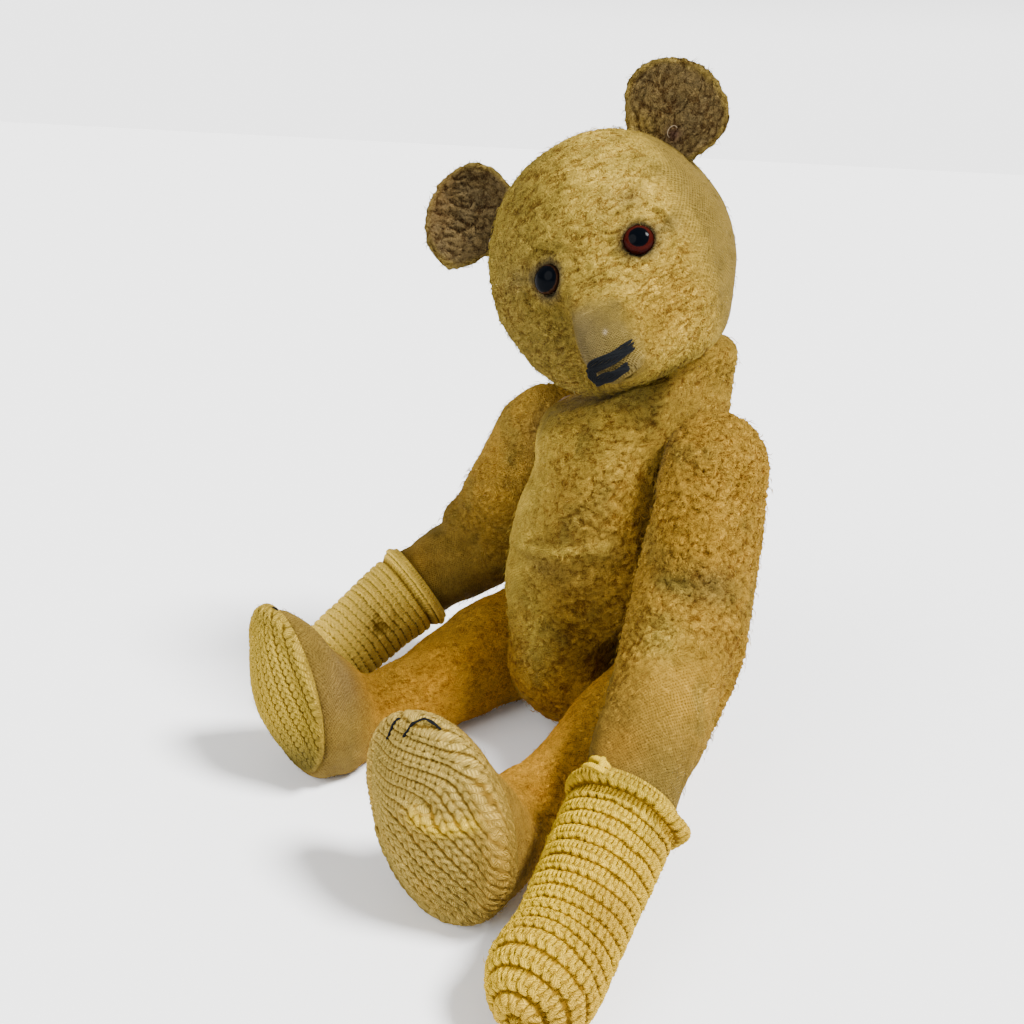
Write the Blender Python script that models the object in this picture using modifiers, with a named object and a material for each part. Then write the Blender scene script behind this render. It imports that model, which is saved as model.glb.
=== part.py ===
"""Threadbare jointed teddy bear, sitting. Metres, +Z up, the bear faces -Y and its left side is +X.

Each stuffed part is one closed solid: its mohair cover with the wood wool packed inside it. Head, arms and
legs turn on disc joints: a card disc and a steel washer on each side of the seam, held by one split pin.
"""

import math

import bmesh
import bpy
from mathutils import Matrix, Vector
from mathutils.bvhtree import BVHTree

MM = 0.001
GAP = 0.3  # clearance left between two pieces that touch

# ---- driving dimensions: millimetres, and degrees for angles --------------------------------------------
NECK = (11.5, -1, 183.5)  # middle of the neck seam
NECK_YAW = 37  # the head is turned to the bear's left
NECK_ROLL = -27  # and leans to its right
HEAD_LIFT = 46  # from the neck seam up to the middle of the head

# Middle of each shoulder seam, the middle line of the arm as it lies (outward, forward, down from the seam),
# and how far down the arm its mitt starts. The right arm has collapsed at the elbow.
ARM = {
    "left": {"joint": (38.5, -3, 149), "cuff": 152, "line": [
        (18, -2, -25), (18, 4, 0), (26, 16, 30), (36, 33, 60), (46, 55, 81), (56.5, 80, 99), (69, 111, 115),
        (81, 139, 127), (90.5, 166, 131.5)]},
    "right": {"joint": (-31, -3, 149), "cuff": 113, "line": [
        (15, 0, -16), (17, 2, 4), (25, 9, 36), (38, 15, 63), (49, 27, 79), (57.5, 42, 91), (62.5, 68, 107),
        (63.5, 95, 123), (63, 122, 135)]},
}
# Half width and half height of the arm along that line.
ARM_SIZE = [
    (21, 22), (22.5, 24), (23, 25.5), (24, 25.5), (22, 24), (19.5, 21), (17.5, 18.5), (16, 17), (14.5, 15.5),
]
# foot is how much wider and taller than the pattern each foot is now, and lift how far it has ridden up.
LEG = {
    "left": {"joint": (25, -12, 33), "splay": 9, "toe_out": -5.5, "lift": 3, "toe_drop": 4, "toe_twist": 10,
             "foot": (1.05, 1.0)},
    "right": {"joint": (-25, -5, 33), "splay": 0, "toe_out": 6.5, "lift": 3.2, "toe_drop": 7, "toe_twist": 4,
              "foot": (0.92, 0.99)},
}

# Middle of each ear in the head's own frame, and how far it leans out and turns forward.
EAR = {
    "left": {"centre": (46.5, 4, 48), "tilt": 44, "turn": 12, "across": 22.5, "tall": 21},
    "right": {"centre": (-47, 4, 45), "tilt": 50, "turn": 12, "across": 24.5, "tall": 20.5},
}
EAR_THICK = 3.0
EAR_CUP = 7.5
EYES = {"middle": 2, "across": 19.5, "up": 9.5}  # where the eyes sit on the face
EYE_RADIUS = 6.0
EYE_DOME = 3.6
EYE_EDGE = 0.4  # thickness of the glass at its rim
EYE_SINK = 1.4  # how far the glass is pulled into the cover
SHANK_WIRE = 0.45
SHANK_WIDE = 1.8
SHANK_LONG = 7
COVER = 2.8  # thickness of the crocheted mitts and the knitted soles
SOLE_START = 173  # how far down the leg its sole starts

# The hollow the trunk leaves for a limb: the radius of its flat, its rim's radius and how far out the rim is.
SEAT = {"arm": (33, 116, 20), "leg": (40, 70, 30)}
DISC_RADIUS = {"neck": 19, "shoulder": 13, "hip": 15}
DISC_THICK = 2.0
CLOTH = 2.2  # seam to disc
WASHER_RADIUS = 6.0
WASHER_THICK = 0.8
WIRE_RADIUS = 0.65  # one leg of a split pin
WIRE_OFFSET = 0.75  # from the middle of the pin to the middle of each leg
PIN_HOLE = 1.75
PIN_EYE = 2.2  # radius of the pin's round eye
PIN_CURL = 2.3  # radius of each curled end

# Each row: x, y, z of the middle of a section, its half width along X and its half height across it.
TORSO_ROWS = [
    (-1, -3, -4, 20, 20), (-1, -5, 8, 24, 26), (-1, -8, 20, 29, 36), (-1, -10, 38, 34, 44), (0, -8, 57, 40, 46.5),
    (1, -6, 75, 45, 49), (2, -4, 93, 48, 50), (3, -3, 112, 47, 49), (4, -1, 138, 43, 47), (4, 0, 154, 40, 45),
    (6, 2, 168, 38, 41), (8, 4, 187, 35, 38), (10, 6, 204, 31, 33),
]
# Seen in the head's own frame, from the back of the head to the tip of the muzzle.
HEAD_ROWS = [
    (3, 50, 3, 40, 43), (2.5, 30, 3, 49, 53), (2, 5, 3, 51.5, 54.5), (1, -15, 1, 50.5, 53), (0, -28, -3, 47, 48),
    (0, -38, -9.5, 41.5, 39.5), (0, -46, -17, 34, 30), (0, -55, -22.5, 25, 22.5), (0, -65, -25, 18.5, 18),
    (0, -75, -27.5, 14.5, 14.5), (0, -82, -28, 12.5, 12),
]
# Across the leg, back, down, half width, half height, with the leg hanging and its toe to the front, and how much
# of the foot's own outward shift, droop and twist has come.
LEG_ROWS = [
    (16, 0, 30, 17, 25, 0), (16, 0, 0, 20.5, 31, 0), (19, 4, -37, 20.5, 28, 0), (19.5, 10, -74, 19, 22.5, 0),
    (19, 12, -103, 18.5, 20.5, 0.2), (18.5, 7, -122, 21, 26, 0.6), (18, -2, -134, 25, 34.5, 0.9),
    (18, -8, -146, 28, 39, 1), (18, -9, -152, 28, 39.5, 1),
]

# Each claw stitch left: its two ends across the toe and how far down the leg it is.
CLAWS = {"left": [(7, 17, 127), (21, 25, 127)], "right": [(-37, -28, 125)]}
SIDES = (("left", 1), ("right", -1))
UP = (0, 0, 1)
DOWN = (0, 0, -1)
FORWARD = (0, -1, 0)
# How finely each form is divided (rings, sides), and how long the rounding is at its two ends.
TORSO_GRID = (17, 24, (20, 10))
HEAD_GRID = (20, 24, (42, 8))
ARM_GRID = (20, 18, (24, 17))
LEG_GRID = (21, 20, (28, 9))
MITT_START = 24  # the rounding at the shoulder, before the arm's line is measured

MATERIALS = {  # colour, roughness, metallic
    "mohair": ((0.42, 0.28, 0.09), 0.95, 0.0),
    "ear_mohair": ((0.24, 0.17, 0.08), 0.95, 0.0),
    "crochet_cotton": ((0.58, 0.46, 0.18), 0.9, 0.0),
    "sole_wool": ((0.50, 0.36, 0.14), 0.9, 0.0),
    "eye_glass": ((0.02, 0.015, 0.02), 0.08, 0.0),
    "black_thread": ((0.012, 0.014, 0.02), 0.8, 0.0),
    "hardboard": ((0.23, 0.15, 0.09), 0.85, 0.0),
    "steel": ((0.45, 0.43, 0.41), 0.45, 0.9),
}


# ---- tools --------------------------------------------------------------------------------------------------
def collection(name):
    made = bpy.data.collections.new(name)
    bpy.context.scene.collection.children.link(made)
    return made


def material(name):
    found = bpy.data.materials.get(name)
    if found:
        return found
    colour, roughness, metallic = MATERIALS[name]
    made = bpy.data.materials.new(name)
    made.use_nodes = True
    shader = made.node_tree.nodes["Principled BSDF"]
    shader.inputs["Base Color"].default_value = (*colour, 1)
    shader.inputs["Roughness"].default_value = roughness
    shader.inputs["Metallic"].default_value = metallic
    return made


def piece(name, bm, finish, place=None):
    """The named piece that holds bm, given in millimetres in the frame of place."""
    bmesh.ops.recalc_face_normals(bm, faces=bm.faces)
    bmesh.ops.scale(bm, vec=(MM, MM, MM), verts=bm.verts)
    data = bpy.data.meshes.new(name)
    bm.to_mesh(data)
    bm.free()
    data.shade_smooth()
    made = bpy.data.objects.new(name, data)
    if place is not None:
        made.matrix_world = place
    if finish:
        data.materials.append(material(finish))
        BEAR.objects.link(made)
    else:
        CUTTERS.objects.link(made)
        made.hide_render = True
        made.display_type = "WIRE"
    return made


def carry(carrier, *things):
    """Parent things to the piece that carries them, without moving them."""
    for thing in things:
        thing.parent = carrier
        thing.matrix_parent_inverse = carrier.matrix_world.inverted()


def cut(target, cutter):
    modifier = target.modifiers.new(cutter.name, "BOOLEAN")
    modifier.object = cutter
    modifier.operation = "DIFFERENCE"
    modifier.solver = "EXACT"


def smooth_between(rows, at):
    """Catmull-Rom through rows of numbers; at runs from 0 to len(rows) - 1."""
    last = len(rows) - 1
    i = min(int(at), last - 1)
    t = at - i
    near = [rows[max(0, min(last, i + k))] for k in (-1, 0, 1, 2)]
    mixed = []
    for a, b, c, d in zip(*near):
        curve = (2 * a - 5 * b + 4 * c - d) * t * t + (3 * b - a - 3 * c + d) * t ** 3
        mixed.append(0.5 * (2 * b + (c - a) * t + curve))
    return mixed


def skin(bm, loops):
    """Closed skin over loops of equal length; a loop of one point is a tip, and open loops get a flat cap."""
    for a, b in zip(loops, loops[1:]):
        count = max(len(a), len(b))
        for k in range(count):
            j = (k + 1) % count
            corners = [a[k % len(a)], b[k % len(b)], b[j % len(b)], a[j % len(a)]]
            bm.faces.new(list(dict.fromkeys(corners)))
    for loop in (loops[0], loops[-1]):
        if len(loop) > 1:
            bm.faces.new(loop)


def stuffed_form(rows, rings, sides, ends, grow=0.0, start=None, axis=None):
    """A closed lofted form through rows of (x, y, z, half width along X, half height[, lean, twist]).

    ends is the length of the rounding at each end, grow makes the form that much fatter all round, start cuts it
    off flat that far along, and axis keeps every section square to one direction.
    """
    fine = [smooth_between(rows, k * (len(rows) - 1) / 160) for k in range(161)]
    reach = [0.0]
    for a, b in zip(fine, fine[1:]):
        reach.append(reach[-1] + (Vector(b[:3]) - Vector(a[:3])).length)
    whole = reach[-1]
    bm = bmesh.new()
    loops = []
    stops = []
    for r in range(rings + 1):
        s = whole * (0.3 * (1 - math.cos(math.pi * r / rings)) + 0.4 * r / rings)
        k = max(j for j in range(160) if reach[j] <= s)
        t = (s - reach[k]) / (reach[k + 1] - reach[k])
        row = [a + (b - a) * t for a, b in zip(fine[k], fine[k + 1])]
        along = Vector(axis) if axis else (Vector(fine[k + 1][:3]) - Vector(fine[k][:3])).normalized()
        across = Vector((1, 0, 0))
        if len(row) > 5:
            along = Matrix.Rotation(math.radians(row[5]), 3, "X") @ along
            across = Matrix.Rotation(math.radians(row[6]), 3, "Z") @ across
        across = (across - along * along.dot(across)).normalized()
        upward = along.cross(across)
        factor = 1.0
        for length, distance in zip(ends, (s, whole - s)):
            if distance < length:
                factor *= math.sqrt(max(0.0, 1 - (1 - distance / length) ** 2))
        turn = [2 * math.pi * k / sides for k in range(sides if factor > 0.02 else 1)]
        wide, tall = row[3] * factor, row[4] * factor
        stops.append(s)
        loops.append([bm.verts.new(Vector(row[:3]) + across * wide * math.cos(a) + upward * tall * math.sin(a))
                      for a in turn])
    skin(bm, loops)
    if grow:
        bmesh.ops.recalc_face_normals(bm, faces=bm.faces)
        bm.normal_update()
        moved = [(v, v.co + v.normal * grow * v.calc_shell_factor()) for v in bm.verts]
        for v, where in moved:
            v.co = where
    if start is not None:
        first = max(r for r, s in enumerate(stops) if s <= start)
        bmesh.ops.delete(bm, geom=[v for loop in loops[:first] for v in loop], context="VERTS")
        bm.faces.new(loops[first])
    return bm


def turned(name, profile, finish, place, steps=20, hollow=False):
    """A solid turned about Z from (radius, height) corners that run down its outer side.

    A hollow one stays clear of the axis and its profile closes on itself.
    """
    bm = bmesh.new()
    corners = [bm.verts.new((radius, 0, height)) for radius, height in profile]
    for a, b in zip(corners, corners[1:]):
        bm.edges.new((a, b))
    if hollow:
        bm.edges.new((corners[-1], corners[0]))
    made = piece(name, bm, finish, place)
    screw = made.modifiers.new("turn", "SCREW")
    screw.axis = "Z"
    screw.steps = steps
    screw.render_steps = steps
    screw.use_merge_vertices = True
    screw.merge_threshold = 0.00001
    screw.use_smooth_shade = True
    return made


def ring(name, inner, outer, low, high, finish, place, steps=20):
    """A flat ring about Z: a disc with its pin hole, or a washer."""
    profile = [(inner, high), (outer, high), (outer, low), (inner, low)]
    return turned(name, profile, finish, place, steps, hollow=True)


def wire(name, path, radius, finish, place=None, closed=False):
    """A round wire along points in millimetres."""
    curve = bpy.data.curves.new(name, "CURVE")
    curve.dimensions = "3D"
    curve.bevel_depth = radius * MM
    curve.bevel_resolution = 1
    curve.use_fill_caps = True
    spline = curve.splines.new("POLY")
    spline.points.add(len(path) - 1)
    spline.use_cyclic_u = closed
    for point, where in zip(spline.points, path):
        point.co = (*(Vector(where) * MM), 1)
    curve.materials.append(material(finish))
    made = bpy.data.objects.new(name, curve)
    BEAR.objects.link(made)
    if place is not None:
        made.matrix_world = place
    return made


def surface_of(thing):
    """What can be asked for the nearest point or a hit on a piece, in millimetres."""
    points = [thing.matrix_world @ v.co / MM for v in thing.data.vertices]
    return BVHTree.FromPolygons(points, [tuple(p.vertices) for p in thing.data.polygons])


def band(places, half_wide, half_thick, sides=8):
    """A flat band through places of (point on a surface, its outward direction), laid just clear of it."""
    bm = bmesh.new()
    loops = []
    for k, (point, out) in enumerate(places):
        ahead = places[min(k + 1, len(places) - 1)][0] - places[max(k - 1, 0)][0]
        along = (ahead - out * ahead.dot(out)).normalized()
        across = along.cross(out)
        taper = 0.55 if k in (0, len(places) - 1) else 1.0
        centre = point + out * (half_thick + GAP + 0.3)
        turn = [2 * math.pi * j / sides for j in range(sides)]
        loops.append([bm.verts.new(centre + across * half_wide * taper * math.cos(a)
                                   + out * half_thick * math.sin(a)) for a in turn])
    skin(bm, loops)
    return bm


# ---- disc joints --------------------------------------------------------------------------------------------
DISC_LOW = CLOTH + GAP
DISC_HIGH = DISC_LOW + DISC_THICK
WASHER_LOW = DISC_HIGH + GAP
WASHER_HIGH = WASHER_LOW + WASHER_THICK
PIN_SEAT = WASHER_HIGH + GAP  # the eye and the curled ends bear on the washers here
POCKET_END = PIN_SEAT + 7.0


def joint_pocket(name, disc_radius, place):
    """What a cover leaves free for its half of a joint: pin hole, disc, washer and pin end, along +Z."""
    disc = disc_radius + 0.4
    washer = WASHER_RADIUS + 0.5
    profile = [(0, POCKET_END), (washer, POCKET_END), (washer, WASHER_LOW), (disc, WASHER_LOW), (disc, CLOTH),
               (PIN_HOLE, CLOTH), (PIN_HOLE, -1.5), (0, -1.5)]
    return turned(name, profile, None, place)


def split_pin(name, place):
    """One wire doubled back on itself: a round eye, two legs, and two ends curled outwards."""
    reach = PIN_SEAT + WIRE_RADIUS
    half = []
    for angle in (170, 130, 90, 50, 15):
        turn = math.radians(angle)
        half.append((WIRE_OFFSET + PIN_CURL - PIN_CURL * math.cos(turn), 0, -reach - PIN_CURL * math.sin(turn)))
    half += [(WIRE_OFFSET, 0, 1.2 - reach), (WIRE_OFFSET, 0, reach - 0.6)]
    eye = []
    for angle in range(-50, 231, 40):
        turn = math.radians(angle)
        eye.append((PIN_EYE * math.cos(turn), 0, reach + PIN_EYE + PIN_EYE * math.sin(turn)))
    other = [(-x, y, z) for x, y, z in reversed(half)]
    return wire(name, half + eye + other, WIRE_RADIUS, "steel", place)


def disc_joint(prefix, kind, place, trunk, part):
    """The five pieces of one joint. place carries +Z from the trunk into the part that turns."""
    back = place @ Matrix.Rotation(math.pi, 4, "X")
    radius = DISC_RADIUS[kind]
    for owner, where, body in (("trunk", back, trunk), (part.name.split("_")[-1], place, part)):
        name = f"{prefix}_{owner}"
        disc = ring(f"{name}_disc", PIN_HOLE, radius, DISC_LOW, DISC_HIGH, "hardboard", where)
        washer = ring(f"{name}_washer", PIN_HOLE, WASHER_RADIUS, WASHER_LOW, WASHER_HIGH, "steel", where, 12)
        pocket = joint_pocket(f"{name}_pocket", radius, where)
        cut(body, pocket)
        carry(body, disc, washer, pocket)
    carry(part, split_pin(f"{prefix}_split_pin", place))


def seam_face(name, place):
    """A block that leaves a part flat at its seam, half the clearance short of it, on the +Z side of place."""
    bm = bmesh.new()
    bmesh.ops.create_cube(bm, size=300, matrix=Matrix.Translation((0, 0, GAP / 2 - 150)))
    return piece(name, bm, None, place)


def seam_seat(name, kind, place):
    """A shallow round seat that the trunk offers a limb however it swings, opening out along +Z."""
    flat, rim, depth = SEAT[kind]
    middle = Matrix.Translation((0, 0, depth / 2 - GAP / 2))
    bm = bmesh.new()
    bmesh.ops.create_cone(bm, cap_ends=True, segments=32, radius1=flat, radius2=rim, depth=depth, matrix=middle)
    return piece(name, bm, None, place)


# ---- trunk and limbs ----------------------------------------------------------------------------------------
def limb_place(pose, side, swing=0.0):
    """The frame of a limb: origin on its seam, the splay about Z, then the swing about X."""
    splay = Matrix.Rotation(math.radians(side * pose.get("splay", 0)), 4, "Z")
    return Matrix.Translation(Vector(pose["joint"]) * MM) @ splay @ Matrix.Rotation(math.radians(-swing), 4, "X")


def outward(place, side):
    """The frame at a side seam whose +Z points away from the trunk."""
    return place @ Matrix.Rotation(math.radians(90 * side), 4, "Y")


def build_torso():
    """The trunk, flat where it sits and with a shallow seat for every limb."""
    torso = piece("torso", stuffed_form(TORSO_ROWS, *TORSO_GRID, axis=UP), "mohair")
    bm = bmesh.new()
    bmesh.ops.create_cube(bm, size=200, matrix=Matrix.Translation((0, 0, -100)))
    cut(torso, piece("ground_face", bm, None))
    for side_name, side in SIDES:
        for kind, poses in (("arm", ARM), ("leg", LEG)):
            seam = outward(limb_place(poses[side_name], side), side)
            cut(torso, seam_seat(f"{side_name}_{kind}_seat", kind, seam))
    return torso


def arm_rows(pose, side):
    return [(side * out, -forward, -down, *size) for (out, forward, down), size in zip(pose["line"], ARM_SIZE)]


def leg_rows(pose, side):
    """The leg's sections, the foot turned outward and its toe dropped."""
    rows = []
    for x, y, z, wide, tall, share in LEG_ROWS:
        wide, tall = (size * (1 + (factor - 1) * share) for size, factor in zip((wide, tall), pose["foot"]))
        rows.append((side * (x + pose["toe_out"] * share), y - pose["lift"] * share, z, wide, tall,
                     pose["toe_drop"] * share, -pose["toe_twist"] * share))
    return rows


def build_limb(kind, joint_kind, side_name, rows, place, grid, axis, torso):
    """One arm or leg with its joint to the trunk."""
    limb = piece(f"{side_name}_{kind}", stuffed_form(rows, *grid, axis=axis), "mohair", place)
    seam = outward(place, 1 if side_name == "left" else -1)
    face = seam_face(f"{side_name}_{kind}_seam_face", seam)
    cut(limb, face)
    carry(limb, face)
    disc_joint(f"{side_name}_{joint_kind}", joint_kind, seam, torso, limb)
    return limb


def build_cover(name, limb, rows, place, start, grid, axis, finish):
    """A crocheted or knitted shell that fits over the end of a limb."""
    outer = piece(name, stuffed_form(rows, *grid, GAP + COVER, start, axis), finish, place)
    past_edge = 15  # the hollow runs out through the shell's open end by this much
    inner = piece(f"{name}_inside", stuffed_form(rows, *grid, GAP, start - past_edge, axis), None, place)
    cut(outer, inner)
    carry(limb, outer, inner)


# ---- head ---------------------------------------------------------------------------------------------------
def build_head(torso):
    """The head and its joint. Returns it with the frame whose origin is the middle of the head."""
    turn = Matrix.Rotation(math.radians(NECK_YAW), 4, "Z") @ Matrix.Rotation(math.radians(NECK_ROLL), 4, "Y")
    seam = Matrix.Translation(Vector(NECK) * MM) @ turn
    middle = seam @ Matrix.Translation((0, 0, HEAD_LIFT * MM))
    head = piece("head", stuffed_form(HEAD_ROWS, *HEAD_GRID, axis=FORWARD), "mohair", middle)
    face = seam_face("head_seam_face", seam)
    cut(head, face)
    carry(head, face)
    cut(torso, seam_face("torso_neck_face", seam @ Matrix.Rotation(math.pi, 4, "X")))
    disc_joint("neck", "neck", seam, torso, head)
    return head, middle


def facing(point, out):
    """A frame in metres at point whose +Z looks along out."""
    return Matrix.Translation(point * MM) @ out.to_track_quat("Z", "Y").to_matrix().to_4x4()


def on_face(surface, middle, across, up):
    """The point of the face, and its direction, seen from the front at (across, up) from its middle."""
    start = middle @ (Vector((across, -150, up)) * MM) / MM
    forward = -(middle.to_3x3() @ Vector((0, 1, 0)))
    point, out, _, _ = surface.ray_cast(start, -forward)
    return point, out if out.dot(forward) > 0 else -out


def build_eye(side_name, head, surface, middle):
    """A glass dome in a shallow socket, its wire loop drawn back into the head."""
    side = 1 if side_name == "left" else -1
    point, out = on_face(surface, middle, EYES["middle"] + side * EYES["across"], EYES["up"])
    place = facing(point, out)
    edge = EYE_EDGE - EYE_SINK
    dome = [(0, edge + EYE_DOME)]
    for angle in (64, 42, 20):
        turn = math.radians(angle)
        dome.append((EYE_RADIUS * math.cos(turn), edge + EYE_DOME * math.sin(turn)))
    dome += [(EYE_RADIUS, edge), (EYE_RADIUS - 0.7, -EYE_SINK), (0, -EYE_SINK)]
    eye = turned(f"{side_name}_eye", dome, "eye_glass", place)
    back = -EYE_SINK - GAP
    low = back - SHANK_WIRE
    half = SHANK_WIDE / 2
    loop = [(half, 0, low), (half, 0, low - SHANK_LONG + 2), (0, 0, low - SHANK_LONG),
            (-half, 0, low - SHANK_LONG + 2), (-half, 0, low)]
    shank = wire(f"{side_name}_eye_shank", loop, SHANK_WIRE, "steel", place, closed=True)
    outside = 12
    rim, throat, end = EYE_RADIUS + GAP, SHANK_WIDE + 0.1, low - SHANK_LONG - 2
    hollow = [(0, outside), (rim, outside), (rim, back), (throat, back), (throat, end), (0, end)]
    socket = turned(f"{side_name}_eye_socket", hollow, None, place)
    cut(head, socket)
    carry(head, eye, shank, socket)


def ear_form(side, across, tall):
    """A cupped round ear in its own frame: +Z to its tip, the hollow towards -Y."""
    bm = bmesh.new()
    steps = 20
    loops = []
    shares = [0.0, 0.3, 0.55, 0.78, 0.93, 1.0, 0.93, 0.78, 0.55, 0.3, 0.0]
    for k, share in enumerate(shares):
        face = -1 if k < 5 else (1 if k > 5 else 0)
        thick = face * EAR_THICK * math.sqrt(1 - share ** 3)
        lean = EAR_CUP * (1 - share ** 2) + thick
        turn = [2 * math.pi * j / steps for j in range(steps if share else 1)]
        loops.append([bm.verts.new((side * across * share * math.cos(a), lean, tall * share * math.sin(a)))
                      for a in turn])
    skin(bm, loops)
    return bm


def build_ear(side_name, head, middle):
    """An ear sewn across the seam of the head; its foot follows the head."""
    side = 1 if side_name == "left" else -1
    pose = EAR[side_name]
    centre = Matrix.Translation(Vector(pose["centre"]) * MM)
    tilt = Matrix.Rotation(math.radians(side * pose["tilt"]), 4, "Y")
    turn = Matrix.Rotation(math.radians(-side * pose["turn"]), 4, "Z")
    place = middle @ centre @ tilt @ turn
    ear = piece(f"{side_name}_ear", ear_form(side, pose["across"], pose["tall"]), "ear_mohair", place)
    grown = stuffed_form(HEAD_ROWS, *HEAD_GRID, GAP, axis=FORWARD)
    foot = piece(f"{side_name}_ear_foot", grown, None, middle)
    cut(ear, foot)
    carry(head, ear, foot)


def build_nose(head, surface, middle):
    """What is left of the stitched nose: two bars joined at the bear's right."""
    path = [(9.5, -22.5), (4, -23), (-1, -23), (-5, -23)]
    bend = 3.2
    for angle in (60, 90, 120):
        turn = math.radians(angle)
        path.append((-5 - bend * math.sin(turn), -23 - bend + bend * math.cos(turn)))
    path += [(-5, -29.4), (-1, -29.8), (3, -30)]
    places = [on_face(surface, middle, across, up) for across, up in path]
    carry(head, piece("nose_thread", band(places, 1.9, 0.6), "black_thread"))


def build_claws(side_name, leg, leg_place):
    """Stray black claw stitches left across the toe."""
    surface = surface_of(leg)
    heading = leg_place.to_3x3() @ Vector((0, 1, 0))
    for number, (first, last, down) in enumerate(CLAWS[side_name], 1):
        places = []
        for k in range(6):
            across = first + (last - first) * k / 5
            start = leg_place @ (Vector((across, -120, -down)) * MM) / MM
            point, out, _, _ = surface.ray_cast(start, heading)
            places.append((point, out if out.dot(heading) < 0 else -out))
        thread = piece(f"{side_name}_claw_thread_{number}", band(places, 0.55, 0.45, 6), "black_thread")
        carry(leg, thread)


# ---- the bear -----------------------------------------------------------------------------------------------
for old in list(bpy.data.objects):
    bpy.data.objects.remove(old)
BEAR = collection("teddy_bear")
CUTTERS = collection("cutters")

torso = build_torso()
head, head_middle = build_head(torso)
face = surface_of(head)
build_nose(head, face, head_middle)
for side_name, side in SIDES:
    build_eye(side_name, head, face, head_middle)
    build_ear(side_name, head, head_middle)

    place = limb_place(ARM[side_name], side)
    rows = arm_rows(ARM[side_name], side)
    arm = build_limb("arm", "shoulder", side_name, rows, place, ARM_GRID, None, torso)
    start = ARM[side_name]["cuff"] + MITT_START
    build_cover(f"{side_name}_mitt", arm, rows, place, start, ARM_GRID, None, "crochet_cotton")

    place = limb_place(LEG[side_name], side, 90)
    rows = leg_rows(LEG[side_name], side)
    leg = build_limb("leg", "hip", side_name, rows, place, LEG_GRID, DOWN, torso)
    build_claws(side_name, leg, place)
    build_cover(f"{side_name}_sole", leg, rows, place, SOLE_START, LEG_GRID, DOWN, "sole_wool")
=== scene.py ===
"""The looks of a worn, jointed teddy bear: mohair pile rubbed down to its cloth, glass eyes, what is left of a
stitched nose, crocheted mitts over the paws and knitted soles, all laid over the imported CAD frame.

Shapes are worked out in millimetres in each part's own frame and placed in metres in the frame's.
"""
import math
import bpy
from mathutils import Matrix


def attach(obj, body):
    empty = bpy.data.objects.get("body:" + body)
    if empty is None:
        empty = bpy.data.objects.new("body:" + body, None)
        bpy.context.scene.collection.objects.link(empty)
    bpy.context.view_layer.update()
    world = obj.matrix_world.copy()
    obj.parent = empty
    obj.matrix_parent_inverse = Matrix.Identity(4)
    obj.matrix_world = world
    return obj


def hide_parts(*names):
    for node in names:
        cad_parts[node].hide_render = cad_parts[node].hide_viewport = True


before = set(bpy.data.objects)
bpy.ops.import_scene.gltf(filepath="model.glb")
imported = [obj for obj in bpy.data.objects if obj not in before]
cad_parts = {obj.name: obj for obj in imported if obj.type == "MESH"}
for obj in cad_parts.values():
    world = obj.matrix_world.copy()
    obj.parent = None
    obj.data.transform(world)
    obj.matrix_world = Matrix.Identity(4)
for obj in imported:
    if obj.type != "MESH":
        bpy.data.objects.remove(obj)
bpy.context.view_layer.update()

from types import SimpleNamespace

import bpy
import numpy as np
from mathutils import Matrix, Vector
from mathutils.bvhtree import BVHTree

bl_info = {
    "name": "Worn Teddy Bear",
    "version": (1, 0, 0),
    "blender": (4, 5, 0),
    "location": "3D View > Sidebar > Bear",
    "description": "Dresses a jointed teddy bear in worn mohair, glass eyes, crochet and knitting",
    "category": "Object",
}

MM = 0.001
GAP = 0.3  # how far a cover stays clear of the seam it is drawn against
LOWEST = 0.15  # no point of a piece goes lower than this over the floor
SIDES = (("left", 1), ("right", -1))
UP, DOWN, FORWARD = (0, 0, 1), (0, 0, -1), (0, -1, 0)


# ---- numbers for grain, curls and wandering ------------------------------------------------------------------
def fade(low, high, x):
    """0 below low, 1 above high, smooth between."""
    t = np.clip((x - low) / (high - low), 0, 1)
    return t * t * (3 - 2 * t)


def unit(v):
    return v / np.maximum(np.linalg.norm(v, axis=-1, keepdims=True), 1e-9)


def scatter(cell, salt):
    """A repeatable number from 0 to 1 for every cell of a grid."""
    c = cell.astype(np.int64)
    n = (c[..., 0] * 73856093) ^ (c[..., 1] * 19349663) ^ (c[..., 2] * 83492791) ^ ((salt + 1) * 2654435761)
    for _ in range(2):
        n &= 0xFFFFFFFF
        n = (n ^ (n >> 16)) * 0x45D9F3B
    n &= 0xFFFFFFFF
    return (n ^ (n >> 16)) / 4294967295.0


def drift(p, size, salt=0):
    """Smooth wandering from -1 to 1, its swells about size across."""
    q = p / size
    cell = np.floor(q)
    f = q - cell
    f = f * f * (3 - 2 * f)
    total = np.zeros(p.shape[:-1])
    for corner in np.ndindex(2, 2, 2):
        share = np.prod(np.where(np.array(corner) == 1, f, 1 - f), axis=-1)
        total += share * scatter(cell + corner, salt)
    return total * 2 - 1


def mottle(p, size, salt=0, layers=3):
    """Drift with finer drift on top."""
    return sum(drift(p, size / 2 ** k, salt + 31 * k) / 2 ** k for k in range(layers)) / (2 - 2 ** (1 - layers))


def locks(p, size, salt=0):
    """The two nearest lock centres: distance to the nearest, how much further the next is, that lock's number."""
    q = p / size
    cell = np.floor(q)
    near, second, own = np.full(len(q), 9.0), np.full(len(q), 9.0), np.zeros(len(q))
    for shift in np.ndindex(3, 3, 3):
        c = cell + (np.array(shift) - 1)
        centre = c + 0.1 + 0.8 * np.stack([scatter(c, salt + k) for k in range(3)], axis=-1)
        d = np.linalg.norm(q - centre, axis=-1)
        closer = d < near
        second = np.where(closer, near, np.minimum(second, d))
        own = np.where(closer, scatter(c, salt + 9), own)
        near = np.where(closer, d, near)
    return near, second - near, own


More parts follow.
